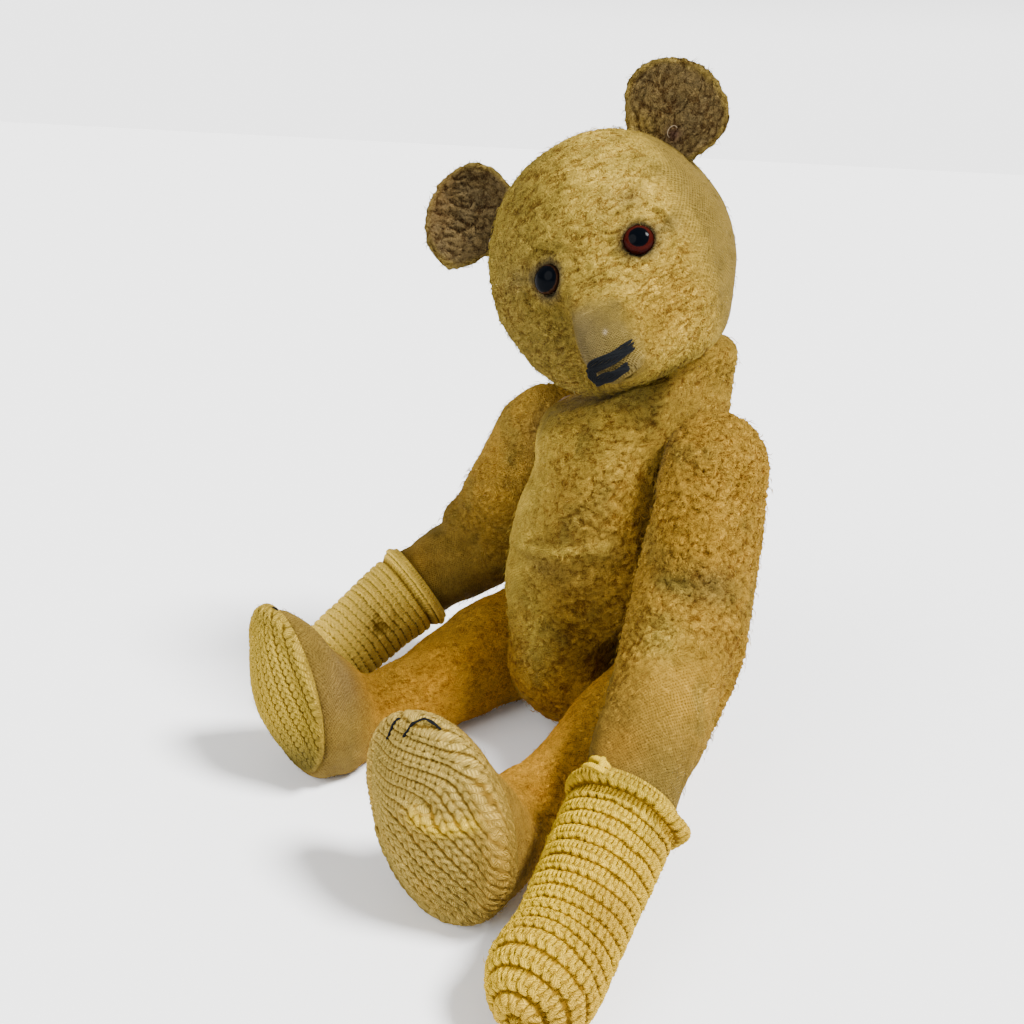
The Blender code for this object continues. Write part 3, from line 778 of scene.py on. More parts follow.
def board_finish(name, colour):
    """Pressed fibre board, mottled, with short fibres in it."""
    r = Recipe(name, Roughness=0.85)
    at = r.place()
    flecks = r.grain(at, 900.0, 4.0, 0.7)
    cloud = r.grain(at, 120.0, 2.0)
    return r.ready(Base_Color=r.scaled(r.mixed(colour, darker(colour, 0.5), flecks), cloud * 0.5 + 0.7),
                   Normal=r.bump(flecks, 0.2))


def steel_finish(name, colour):
    """Plain steel gone dull, brown where it has rusted."""
    r = Recipe(name)
    at = r.place()
    rust = r.grain(at, 400.0, 4.0, 0.65).between(0.52, 0.7)
    scratch = r.grain(at, 1500.0, 2.0)
    return r.ready(Base_Color=r.mixed(colour, (0.16, 0.06, 0.025, 1), rust), Metallic=1 - rust,
                   Roughness=rust * 0.45 + scratch * 0.2 + 0.25, Normal=r.bump(scratch + rust, 0.05))


FINISHES = {}


def finish_for(name, make, *args):
    """The finish of this name, made the first time it is asked for."""
    if name not in FINISHES:
        FINISHES[name] = make(name, *args)
    return FINISHES[name]


# ---- sizes and colours a user may change --------------------------------------------------------------------
def shade(text):
    """The scene's own numbers for a colour written as it looks."""
    numbers = [int(text[k:k + 2], 16) / 255 for k in (0, 2, 4)]
    return [n / 12.92 if n <= 0.04045 else ((n + 0.055) / 1.055) ** 2.4 for n in numbers]


def colour_of(name, text, about):
    return bpy.props.FloatVectorProperty(name=name, description=about, subtype="COLOR", size=3, min=0, max=1,
                                         default=shade(text))


def length_of(name, value, about, low=0.0):
    return bpy.props.FloatProperty(name=name, description=about, unit="LENGTH", default=value * MM, min=low)


class BearColours(bpy.types.PropertyGroup):
    # Also laid darker as painted shade along the crease at the muzzle's left side.
    gold: colour_of("Gold", "a8822b", "Mohair where it has kept its colour")
    # Also laid, lighter still, as a painted highlight along the chest fold.
    pale: colour_of("Pale tan", "c9ab43", "Mohair faded by light")
    # Also laid as painted shade on the bear's right cheek, under the chin and along the left elbow crease.
    olive: colour_of("Olive", "79692d", "Mohair gone dull and dusty")
    # Also laid darker as painted shade along the crease at the muzzle's right side.
    ochre: colour_of("Ochre", "956f1b", "Mohair on the belly and thighs")
    # Also laid as painted shade on the trunk below the left armpit.
    rust: colour_of("Orange brown", "aa7718", "Deep orange brown low on the trunk and legs")
    bare: colour_of("Bare cloth", "8e7635", "The backing cloth where the pile has gone")
    # Grey dirt, also laid as painted shade in the eye sockets, in the chest and elbow creases, on the muzzle's shaded
    # side and where the arms meet the trunk.
    grime_and_shade: colour_of("Grime", "5b513b", "Grey dirt round the eyes and on the brow")
    ear: colour_of("Ear lining", "5e4d30", "The dark insides of the ears")
    mitt: colour_of("Mitt cotton", "e7c024", "The pale yellow cotton of the mitts")
    sole: colour_of("Sole wool", "af9446", "The wool the soles are knitted in")
    thread: colour_of("Black thread", "04070b", "The thread of the nose and claws")
    iris: colour_of("Iris", "2c0a06", "The red-brown ring of the glass eyes")
    board: colour_of("Disc board", "8c6f4c", "The fibre board of the joint discs")
    steel: colour_of("Steel", "8d8a86", "Washers, split pins and eye loops")
    floor: colour_of("Floor", "f7f7f7", "The studio floor and backdrop")


class BearSizes(bpy.types.PropertyGroup):
    curl: length_of("Curl size", 2.9, "How far apart the curls of the long pile stand")
    rise: length_of("Curl height", 2.4, "How far the long pile stands up")
    nap: length_of("Nap size", 2.1, "How far apart the tufts of the short pile stand")
    nap_rise: length_of("Nap height", 0.9, "How far the short pile stands up")
    hair: length_of("Stray hair", 3.4, "How long the stray hairs are")
    hair_thick: length_of("Hair thickness", 0.17, "Half thickness of a stray wisp at its root")
    row: length_of("Crochet row", 5.9, "Height of one round of the mitts")
    stitch: length_of("Crochet stitch", 3.7, "Width of one stitch of the mitts")
    rib: length_of("Knitted row", 5.2, "Height of one ridge of the soles")
    loop: length_of("Knitted stitch", 4.3, "Width of one stitch of the soles")
    yarn: length_of("Yarn relief", 1.3, "How deep the gaps between the stitches are")


def colours():
    """The chosen colours, as arrays that can be lightened and mixed."""
    chosen = bpy.context.scene.bear_colours
    return SimpleNamespace(**{name: np.array(getattr(chosen, name)) for name in BearColours.__annotations__})


def mm(name):
    """One of the chosen sizes, in millimetres."""
    return getattr(bpy.context.scene.bear_sizes, name) / MM


# ---- pieces of pile -----------------------------------------------------------------------------------------
def coat(cloth, skin, tone, lay, size, rise, stretch, bald, calm, salt, hairs, hair_long=None, stand=0.5):
    """Lays pile over a skin and adds it, with its stray hairs, to the piece."""
    height, own = curls(skin.p, size, stretch, salt)
    height = height * (1 - bald) + 0.55 * bald
    along, lie = lie_of(skin.p, skin.out, lay, own, salt)
    keep = (1 - 0.9 * bald) * calm
    points = skin.p + skin.out * ((height - 0.66) * rise * keep)[:, None]
    points = points + along * (height * rise * 0.3 * keep)[:, None]
    tone = tone * (0.88 + 0.24 * own * (1 - bald) + 0.1 * drift(skin.p, size * 2.5, salt + 3))[:, None]
    cloth.add(points, *skin.net(), tone=tone, pile=height, bald=bald, lie=lie, thread=skin.thread)
    spread = np.maximum((1 - bald) * calm, 0.02 * calm) * (0.2 + height) + 1e-6
    area = flat_list(np.linalg.norm(np.roll(skin.grid, -1, 1) - skin.grid, axis=-1))
    add_hairs(cloth, points, skin.out, along, tone * 1.12, spread * area, hairs, hair_long or mm("hair"),
              mm("hair_thick"), salt, stand)


def settle(piece, body, node):
    """Parents a piece to the body it moves with and hides the CAD node it stands for."""
    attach(piece, body)
    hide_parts(node)


def touch_tree(mesh):
    """What finds the nearest or the next point of a mesh, in millimetres."""
    return BVHTree.FromPolygons([v.co / MM for v in mesh.vertices], [tuple(f.vertices) for f in mesh.polygons])


def seat(p, joint, away, sizes):
    """Keeps the trunk out of the shallow round seat of a limb."""
    flat, rim, depth = sizes
    off = from_axis(p, joint, away)
    limit = depth * np.clip((off - flat) / (rim - flat), 0, 1) + np.maximum(off - rim, 0) * 3 - GAP
    over = plane_side(p, joint, away) - limit
    keep = -0.9 * np.logaddexp(0, -over / 0.9)
    return p + (keep - over)[..., None] * away


def trunk_shape(p):
    for joint, away, sizes in limb_seats():
        p = seat(p, joint, away, sizes)
    p = press_flat(p, NECK_POINT - NECK_AXIS * GAP, NECK_AXIS)
    return press_flat(p, (0, 0, 0.4), DOWN, 0.6)


def make_trunk():
    """The trunk: a stuffed bag folded under its chest, faded and bald down its right front, rusty low down."""
    c = colours()

    def seams(grid, _):
        side_seam = np.exp(-((grid[..., 1] + 3) / 5) ** 2)
        front_seam = np.exp(-((grid[..., 0] - 3) / 4) ** 2) * 0.5
        low = 1 - fade(6, 16, grid[..., 2])
        over = fade(-8, -2, plane_side(grid, NECK_POINT, NECK_AXIS))
        return np.clip(np.maximum.reduce([np.maximum(side_seam, front_seam) * 0.6, low, over]), 0, 1)

    def sculpt(p):
        up, off = plane_side(p, NECK_POINT, NECK_AXIS), from_axis(p, NECK_POINT, NECK_AXIS)
        neck_edge = 1.0 * fade(-18, -9, up) * fade(16, 26, off) - 2.6 * fade(-6, -1, up) * fade(26, 36, p[:, 0])
        return neck_edge + 1.0 * mottle(p, 26, 5) + 0.45 * mottle(p, 9, 6) + raised(p, lines=[
            (2.5, [(-14, -49, 102), (-9, -51, 103), (12, -52, 107), (30, -43, 113), (44, -30, 115)], 3.4),
            (-1.8, [(-30, -40, 92), (-9, -51, 96), (10, -52, 99), (30, -43, 104), (46, -28, 106)], 4.0),
            (-3.0, [(-26, -37, 129), (-18.6, -42.6, 131), (-13, -45, 133)], 3.0),
            (-0.9, [(-8, -41, 162), (-10, -43, 156), (-9, -44, 150)], 1.6),
            (-1.4, [(33, -33, 168), (37, -27, 155), (41, -26, 140)], 4.5),
            (-1.6, [(20, -45, 42), (27, -40, 47), (34, -30, 52)], 4.5)])

    skin = Skin.stuffed(Form(TORSO_ROWS, (20, 10), UP), 248, 248, trunk_shape, join=90, relax=dict(
        rings=48, sides=44, pinned=seams, pressure=3.0, slack=0.035, cap=2.6, sink=0.4))
    skin.move(sculpt)
    p = skin.p
    x, y, z = p.T
    front = fade(-10, -40, y)
    above = plane_side(p, NECK_POINT, NECK_AXIS)
    paint = Paint(p, c.gold)
    paint.wash(c.pale, 0.3 * patch(p, (18, -42, 158), (22, 20, 16)) + 0.2 * fade(90, 120, z))
    paint.wash(c.ochre * 0.72, fade(118, 60, z) * (0.8 + 0.5 * mottle(p, 22, 11)))
    paint.wash(c.rust * 0.85, 0.8 * fade(66, 30, z))
    paint.wash(c.pale * 0.85, 0.8 * fade(12, -14, x + 0.25 * (y + 45)) * front * fade(50, 80, z))
    paint.spot(c.gold, 0.7, (0, -54, 62), (9, 10, 18))
    paint.spot(c.olive, 0.35, (18, -50, 108), (22, 14, 22))
    paint.spot(c.pale * 0.9, 0.85, (5, -53, 66), (9, 14, 20))
    # Painted shade: darkens the front of the trunk just under the head.
    paint.scale(1 - 0.5 * fade(-9, -2, above) * fade(-8, -22, y))
    paint.wash(c.olive, 0.5 * fade(0.1, 0.6, mottle(p, 14, 12)))
    # Painted shade: olive under the chin, on the bear's left.
    paint.spot(c.olive, 0.8, (24, -30, 178), (24, 18, 9))
    # Painted highlight: a pale line along the top of the chest fold.
    paint.stroke(c.pale * 1.1, 0.8, [(-8, -51, 103), (12, -52, 108), (32, -42, 114)], 3.0)
    # Painted shade: grey in the crease under the chest fold.
    paint.spot(c.grime_and_shade, 0.30, (2, -52, 99), (14, 12, 6))
    # Painted shade: darker orange brown on the trunk below the left armpit, beside the arm.
    paint.spot(c.rust, 0.5, (42, -28, 118), (12, 16, 26))
    paint.wash(c.bare, 0.5 * fade(10, 40, y))
    bald = np.clip(0.75 * fade(2, -16, x + 0.3 * (y + 50)) * front * fade(60, 90, z) * (0.6 + 0.4 * mottle(p, 12, 14))
                   + 0.4 * fade(15, 40, y) * (0.5 + mottle(p, 18, 15)), 0, 0.8)
    calm = fade(0.5, 7, -above) * fade(0.6, 6, z)
    for joint, away, (flat, _, _) in limb_seats():
        facing = fade(-3.5, -0.5, plane_side(p, joint, away))
        calm = calm * (1 - 0.75 * facing * fade(flat + 10, flat - 2, from_axis(p, joint, away)))
    lay = np.tile([0.15, 0.0, -1.0], (len(p), 1))
    rise = mm("rise") * (1 - 0.55 * fade(75, 45, z))
    cloth = Cloth()
    coat(cloth, skin, paint.tone, lay, mm("curl"), rise, (0.85, 1.0, 1.0), bald, calm, 101, 2400)
    settle(cloth.piece("trunk_mohair", np.eye(4), finish_for("mohair", mohair_finish)), "trunk", "torso")


def eye_frame(side_name):
    """Middle and outward direction of an eye, read off the frame."""
    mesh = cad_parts[f"{side_name}_eye"].data
    points = np.empty(len(mesh.vertices) * 3, np.float32)
    mesh.vertices.foreach_get("co", points)
    points = points.reshape(-1, 3).astype(float) / MM
    points = np.unique(np.round(points, 3), axis=0)
    middle = points.mean(axis=0)
    _, _, axes = np.linalg.svd(points - middle)
    out = axes[2] if axes[2] @ (middle - HEAD[:3, 3]) > 0 else -axes[2]
    back = ((points - middle) @ out).min()
    return middle + out * (back + 1.4), out


def head_shape(p):
    return press_flat(p, (0, 0, -46 + GAP), DOWN)


def make_head():
    """The head: a stuffed ball with a blunt muzzle, eye sockets, and cloth worn bare on the muzzle and left side."""
    c = colours()
    sockets = [(local(middle, HEAD), out @ HEAD[:3, :3]) for middle, out in (eye_frame(name) for name, _ in SIDES)]
    left_seam = [(17, -45, 10), (13.3, -51.9, 1.1), (11.5, -63, -10), (8.6, -78.3, -20.9)]
    right_seam = [(-14, -46, 10), (-11.5, -52.1, 2.4), (-11, -63, -10), (-9.5, -76, -19)]
    crown = [(17, -45, 10), (22, -38, 25), (26, -22, 40), (27, 0, 49)]

    def seams(grid, _):
        held = np.exp(-((np.abs(grid[..., 0]) - 12) / 3) ** 2) * fade(20, -30, grid[..., 1])
        tip = fade(-60, -72, grid[..., 1])
        low = fade(-34, -44, grid[..., 2])
        return np.clip(np.maximum.reduce([held * 0.5, tip, low]), 0, 1)

    def sculpt(p):
        push = 0.9 * mottle(p, 24, 25) + 0.35 * mottle(p, 8, 26)
        for middle, out in sockets:
            round_it = from_axis(p, middle, out)
            near = np.linalg.norm(p - middle, axis=1) < 14
            push += near * (-2.6 * fade(6.6, 4.6, round_it) + 0.7 * np.exp(-((round_it - 8.2) / 1.7) ** 2)
                            - 0.8 * np.exp(-((round_it - 12) / 3) ** 2))
        push -= 4.2 * fade(-8, -17, p[:, 0] + 0.25 * (p[:, 1] + 62)) * fade(-32, -48, p[:, 1]) * fade(6, -8, p[:, 2])
        return push + raised(p, [
            (0.8, (2, -70, -12), (7, 10, 6)),
            (-2.6, (-40, -32, -16), (22, 26, 28)),
            (-3.4, (23, -62, -20), (11, 15, 17)),
            (-1.6, (15, -58, 2), (6, 10, 9)),
            (-6.0, (0, -76, -42), (20, 18, 9)),
            (-4.0, (-20, -58, -38), (18, 20, 11)),
            (3.0, (34, -14, -38), (12, 24, 10)),
        ], [
            (-0.75, left_seam, 1.0),
            (-0.75, right_seam, 1.0),
            (-0.4, crown, 1.4),
            (-0.7, [(0, -84, -30), (2, -80, -37), (4, -68, -43)], 1.4),
            (3.0, [(-8, -44, 15), (-9, -51, 5), (-9.5, -60, -5), (-10.5, -69, -14), (-9, -78, -22)], 5.0),
            (-2.6, [(-24, -46, 4), (-22, -54, -10), (-19, -62, -22)], 6.0),
            (-2.2, [(20, -58, -10), (18, -66, -22), (12, -73, -33), (5, -78, -40)], 3.0),
        ])

    skin = Skin.stuffed(Form(HEAD_ROWS, (42, 8), FORWARD), 226, 270, head_shape,
                        busy=lambda s: 0.75 + 0.45 * fade(60, 95, s), relax=dict(
                            rings=44, sides=40, pinned=seams, pressure=2.5, slack=0.02, cap=2.0, sink=0.3))
    skin.move(sculpt)
    p = skin.p
    x, y, z = p.T
    side_cloth = x > 24
    skin.thread = np.stack([np.where(side_cloth, y * 1.1, x * 1.6), np.where(side_cloth, z * 1.1, 1.2 * (z + y)),
                            0 * x], axis=-1)
    ragged = 3.5 * mottle(p, 7, 32)
    muzzle = (fade(-17, -8, x + 0.7 * ragged) * fade(15, 6, x + 0.12 * (y + 65) + 0.7 * ragged)
              * fade(-50, -76, y + 2.4 * ragged) * fade(-40, -30, z))
    side_bare = fade(28, 46, x + 0.25 * (y + 30) + 5 * mottle(p, 9, 34)) * fade(36, 16, y)
    cloud = mottle(p, 18, 31)
    paint = Paint(p, c.pale)
    paint.wash(c.gold, 0.25 + 0.3 * fade(-30, -55, y) * fade(10, -20, z) * fade(5, -5, x) + 0.2 * cloud)
    # Painted shade: olive over the bear's right cheek and side of the face, away from the light.
    paint.wash(c.olive, 0.65 * fade(14, -24, x) + 0.2 * fade(-18, -40, x) * fade(25, -5, z))
    paint.wash(c.olive, 0.45 * fade(0.0, 0.6, mottle(p, 12, 33)))
    # Painted shade: darkens the bear's right half of the face, easing off towards its far side.
    paint.scale(1 - 0.30 * fade(16, -4, x) + 0.22 * fade(-12, -34, x))
    paint.wash(c.bare * 1.15, 0.4 * fade(-16, -36, x) * fade(-20, -34, y))
    paint.spot(c.gold * 0.85, 0.6, (28, -46, -16), (16, 22, 18))
    paint.wash(c.bare * 0.57, 0.95 * side_bare)
    # Painted shade: darker gold along the crease at the muzzle's left side.
    paint.stroke(c.gold * 0.7, 0.6, [(21, -58, -12), (19, -65, -24), (13, -72, -35)], 4.0)
    # Painted shade: dark ochre along the crease at the muzzle's right side.
    paint.stroke(c.ochre * 0.6, 0.6, [(-20, -50, 0), (-19, -58, -14), (-16, -66, -26)], 5.0)
    # Painted highlight: lightens the top of the muzzle between the eyes.
    paint.scale(1 + 0.5 * patch(p, (-1, -58, -3), (10, 14, 9)))
    paint.wash(c.bare * 0.44, 0.9 * muzzle)
    paint.wash(c.olive, muzzle * (0.35 + 0.25 * cloud))
    # Grey on the muzzle cloth, darker towards the bear's right as painted shade.
    paint.wash(c.grime_and_shade, muzzle * (0.3 + 0.35 * fade(6, -12, x)))
    paint.spot((0.42, 0.34, 0.22), 0.6, (1.6, -76.6, -15.2), (0.8, 1.5, 0.9))
    paint.spot(c.ochre, 0.35, (18, -58, -24), (12, 16, 14))
    paint.wash(c.grime_and_shade, 0.65 * patch(p, (21, -38, 26), (8, 12, 7)) * (0.6 + 0.6 * mottle(p, 5, 36)))
    paint.spot(c.grime_and_shade, 0.6, (33, -42, 10), (5, 6, 4))
    paint.spot(c.grime_and_shade, 0.45, (-30, -42, 14), (10, 9, 5))
    paint.spot(c.grime_and_shade, 0.35, (9, -82, -33), (6, 6, 5))
    calm = fade(0.4, 6, z + 46) * (1 - 0.8 * line_mask(p, left_seam, 1.2)) * (1 - 0.8 * line_mask(p, right_seam, 1.2))
    for middle, out in sockets:
        round_it = from_axis(p, middle, out)
        near = np.linalg.norm(p - middle, axis=1) < 15
        # Painted shade: a dark ring in the sunk socket round each glass eye; the wider mottled grey ring next to it is
        # dirt.
        paint.wash(c.grime_and_shade * 0.45, near * 0.9 * fade(7.6, 5.8, round_it))
        paint.wash(c.grime_and_shade, near * 0.6 * fade(11, 6.5, round_it + 2 * mottle(p, 4, 37)))
        calm = calm * fade(6.0, 8.0, round_it)
    # Painted shade: darkens the underside of the head.
    paint.scale(1 - 0.55 * fade(-37, -43, z) * fade(-20, -45, y))
    bald = np.clip(side_bare * (0.85 + 0.3 * mottle(p, 6, 38)) + 0.85 * muzzle
                   + 0.7 * patch(p, (8, -80, -31), (6, 6, 5)), 0, 1)
    brow = fade(-5, 10, z) * fade(10, -20, y)
    rise = 1.15 + 0.55 * brow + 0.6 * fade(-20, -40, x) * fade(15, -10, z) - 0.35 * fade(-50, -62, y)
    lay = np.stack([0.15 * x / 50, -0.3 * np.ones(len(p)), -np.ones(len(p))], axis=1)
    cloth = Cloth()
    coat(cloth, skin, paint.tone, lay, 2.6, rise, (0.55, 0.8, 1.5), bald, calm, 201, 3600, 2.8, 0.35)
    settle(cloth.piece("head_mohair", HEAD, finish_for("mohair", mohair_finish)), "head_body", "head")


def make_ears():
    """The ears: flat rounds of mohair, darker and curlier inside, sewn down where they meet the head."""
    c = colours()
    skull = touch_tree(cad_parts["head"].data)
    rings, sides = 96, 128
    for side_name, side in SIDES:
        pose = EAR[side_name]
        place = frame_of(*SKULL, ("T", *pose["centre"]), ("Y", side * pose["tilt"]), ("Z", -side * pose["turn"]))
        t = np.linspace(0, 2, rings + 1)[:, None]
        a = round_turn(sides)[None]
        share = np.sin(math.pi * t / 2)
        share[0], share[-1] = 0, 0
        thick = -np.sign(np.cos(math.pi * t / 2)) * 3.0 * np.sqrt(np.clip(1 - share ** 3, 0, 1))
        grid = np.stack([side * pose["across"] * share * np.cos(a), 7.5 * (1 - share ** 2) + thick + 0 * a,
                         -side * pose["tall"] * share * np.sin(a)], axis=-1)
        grid[..., 0] *= 1 - pose["narrow"] * fade(9, -17, grid[..., 2]) + 0.035 * np.cos(3 * a + 0.8)
        grid[..., 0] -= pose["slant"] * grid[..., 2]
        front = fade(0.3, -0.3, t - 1) + 0 * a
        grid = grid + outward(grid) * (0.8 * mottle(grid, 13, 41 + side) * (1 - share ** 6)
                                       + 0.8 * np.exp(-((share - 0.9) / 0.09) ** 2) * front)[..., None]
        world = placed(grid, place).reshape(-1, 3)
        for k, q in enumerate(world):
            near, out, _, _ = skull.find_nearest(Vector(q), 14)
            if near is not None and (Vector(q) - near).dot(out) < 0.2:
                world[k] = near - out * 0.4 - (near - Vector(q)) * 0.12
        skin = Skin(local(world, place).reshape(grid.shape), t[:, 0], t[:, 0] * 22)
        p = skin.p
        inner = flat_list(front * fade(0.97, 0.8, share + 0.06 * mottle(skin.grid, 6, 43)))
        rim = flat_list(front * fade(0.8, 0.92, share) + 0 * a)
        paint = Paint(p, c.olive * 0.6 + c.ear * 0.5)
        paint.wash(c.bare * 0.8, pose["rim"] * rim)
        if side > 0:
            paint.wash(c.ear * 1.5, 0.7 * inner)
            paint.spot(c.bare, 0.75, (-12, 4, -10), (9, 12, 8))
            paint.spot((0.10, 0.045, 0.035), 0.9, (2.5, 6, -6), (3.2, 9, 3.2))
        else:
            paint.wash(c.ear * 0.9, 0.9 * inner)
            paint.spot((0.20, 0.12, 0.04), 0.7, (2, 3, 17), (16, 9, 5))
        paint.wash(c.grime_and_shade, 0.25 * inner * fade(0, 0.5, mottle(p, 5, 44)))
        lay = p - p.mean(axis=0) + (0, 0, -6)
        cloth = Cloth()
        coat(cloth, skin, paint.tone, lay, 3.4, 1.7 + 1.3 * inner, (1.2, 1, 0.8), 0.0 * inner, 1 + 0 * inner,
             301 + side, 300, 2.2, 0.4)
        across, up = pose["hair"]
        root = np.argmin(np.hypot(p[:, 0] - across, p[:, 2] - up) + 50 * (inner < 0.5))
        curl = [p[root] + skin.out[root] * 1.6 + (2.1 * math.cos(b), -0.5 * math.sin(2 * b), 2.6 * math.sin(b))
                for b in np.linspace(0.9, 4.6, 12)]
        strand(cloth, smooth_path(curl, 30), 0.17, tone=np.array([0.40, 0.31, 0.2]), pile=np.array([1.0]))
        piece = cloth.piece(f"{side_name}_ear_mohair", place, finish_for("mohair", mohair_finish))
        settle(piece, "head_body", f"{side_name}_ear")


def make_eyes():
    """The eyes: a red-brown ring round the left pupil, the right one nearly all pupil."""
    c = colours()
    edge, radius, dome, sides = -1.0, 6.0, 3.6, 72
    bend = np.linspace(0, math.pi / 2, 26)
    profile = [(radius * math.sin(t), edge + dome * math.cos(t)) for t in bend]
    profile += [(radius, edge - 0.15), (radius - 0.3, edge - 0.4), (radius - 1.2, edge - 0.4), (0, edge - 0.4)]
    profile = np.array(profile)[::-1]
    turn = round_turn(sides)
    grid = np.stack([profile[:, :1] * np.cos(turn), profile[:, :1] * np.sin(turn), profile[:, 1:] + 0 * turn], axis=-1)
    p = flat_list(grid)
    far = np.linalg.norm(p[:, :2], axis=1) / radius
    looks = {"left": (c.iris, 0.66), "right": ((0.035, 0.014, 0.006), 0.88)}
    for side_name, (ring, pupil_share) in looks.items():
        middle, out = eye_frame(side_name)
        place = np.array(Matrix.Translation(middle) @ Vector(out).to_track_quat("Z", "Y").to_matrix().to_4x4())
        cloth = Cloth()
        cloth.add(p, *net(len(profile) - 1, sides), thread=np.stack([far, 0 * far, 0 * far], axis=1), lie=p)
        glass = finish_for(f"{side_name}_eye_glass", glass_finish, (*ring, 1), (0.0008, 0.0012, 0.002, 1), pupil_share)
        settle(cloth.piece(f"{side_name}_eye_dome", place, glass), "head_body", f"{side_name}_eye")


# ---- threads ------------------------------------------------------------------------------------------------
def strand(cloth, path, radius, **marks):
    """One thread along a path, rounded off at both ends, wound with a slow twist."""
    path = np.array(path, float)
    ahead = unit(np.gradient(path, axis=0))
    side = unit(np.cross(ahead, (0.3, 0.2, 0.93)))
    top = np.cross(side, ahead)
    far = lengths_along(path)
    size = radius * np.sqrt(np.clip(1 - (1 - np.minimum(far, far[-1] - far) / (2 * radius)).clip(0, 1) ** 2, 0.0, 1))
    size[0] = size[-1] = 0
    turn = round_turn(7)
    grid = (path[:, None] + side[:, None] * (size[:, None] * np.cos(turn))[..., None]
            + top[:, None] * (size[:, None] * np.sin(turn))[..., None])
    far = far[:, None] + 0 * turn
    cloth.add(flat_list(grid), *net(len(path) - 1, len(turn)),
              lie=flat_list(np.stack([far, radius * turn + 0 * far, 0 * far], -1)), **marks)


def smooth_path(points, count):
    """Evenly spaced points along a line, its corners rounded."""
    points = np.array(points, float)
    far = lengths_along(points)
    at = np.linspace(0, far[-1], count)
    path = np.stack([np.interp(at, far, column) for column in points.T], axis=-1)
    for _ in range(4):
        path[1:-1] = (path[1:-1] * 2 + path[2:] + path[:-2]) / 4
    return path


def black_thread():
    return finish_for("black_thread", thread_finish, (*colours().thread, 1))


# The nose's bars: both ends across and up the face, half the bar's width, and how ragged its ends are.
NOSE_BARS = [((-9.0, -25.8), (9.8, -23.4), 2.1, 0.35), ((-8.6, -31.0), (5.8, -29.6), 1.6, 0.35),
             ((-8.4, -25.0), (-7.6, -31.0), 1.3, 0.4)]


def make_nose():
    """Two bars of black satin stitch joined at the bear's right, part unpicked."""
    face = touch_tree(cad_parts["head"].data)
    back = Vector(HEAD[:3, 1])
    rng = np.random.default_rng(5)

    def on_face(across, up, clear):
        hit, out, _, _ = face.ray_cast(Vector(placed(np.array([across, -150, up]), HEAD)), back)
        return np.array(hit + (out if out.dot(back) < 0 else -out) * clear)

    cloth = Cloth()
    for (x0, z0), (x1, z1), half, ragged in NOSE_BARS:
        length = math.hypot(x1 - x0, z1 - z0)
        nx, nz = -(z1 - z0) / length, (x1 - x0) / length
        count = int(half * 2 / 0.62) + 1
        for k in range(count):
            off = (k / (count - 1) * 2 - 1) * half
            a, b = rng.normal(0, ragged / 2, 2)
            path = []
            for t in np.linspace(-a * 0.08, 1 + b * 0.08, 14):
                bow = 0.35 * math.sin(t * 9 + k) + off * (1 - 0.25 * t)
                path.append(on_face(x0 + (x1 - x0) * t + nx * bow, z0 + (z1 - z0) * t + nz * bow,
                                    0.75 + 0.18 * math.sin(t * 17 + 2 * k)))
            path[0] = (path[0] + on_face(x0, z0, 0.0)) / 2
            strand(cloth, smooth_path(path, 30), 0.44)
    settle(cloth.piece("nose_stitches", np.eye(4), black_thread()), "head_body", "nose_thread")


# ---- limbs --------------------------------------------------------------------------------------------------
# Creases, below 0, and ridges of each arm: height, line and width.
ARM_LINES = {
    "left": [(-2.4, [(30, -42, -36), (44, -42, -34), (54, -30, -32), (60, -16, -36)], 3.6),
             (-1.6, [(40, -60, -62), (54, -56, -54), (66, -42, -56)], 3.6),
             (-2.4, [(57, -24, -62), (63, -33, -72), (62, -44, -84)], 3.2),
             (1.6, [(34, -52, -46), (50, -45, -44), (62, -32, -44)], 5.0)],
    "right": [(-3.4, [(-30, -40, -66), (-44, -46, -60), (-56, -40, -60), (-64, -26, -66)], 4.2),
              (-1.6, [(-24, -38, -46), (-38, -42, -40), (-52, -32, -42)], 4.0),
              (-1.6, [(-42, -58, -82), (-56, -56, -72), (-68, -44, -78)], 3.2),
              (1.6, [(-34, -44, -52), (-46, -42, -50), (-58, -30, -52)], 5.0)],
}
ARM_SPOTS = {"left": [], "right": [(3.0, (-46, -22, -34), (20, 22, 26))]}


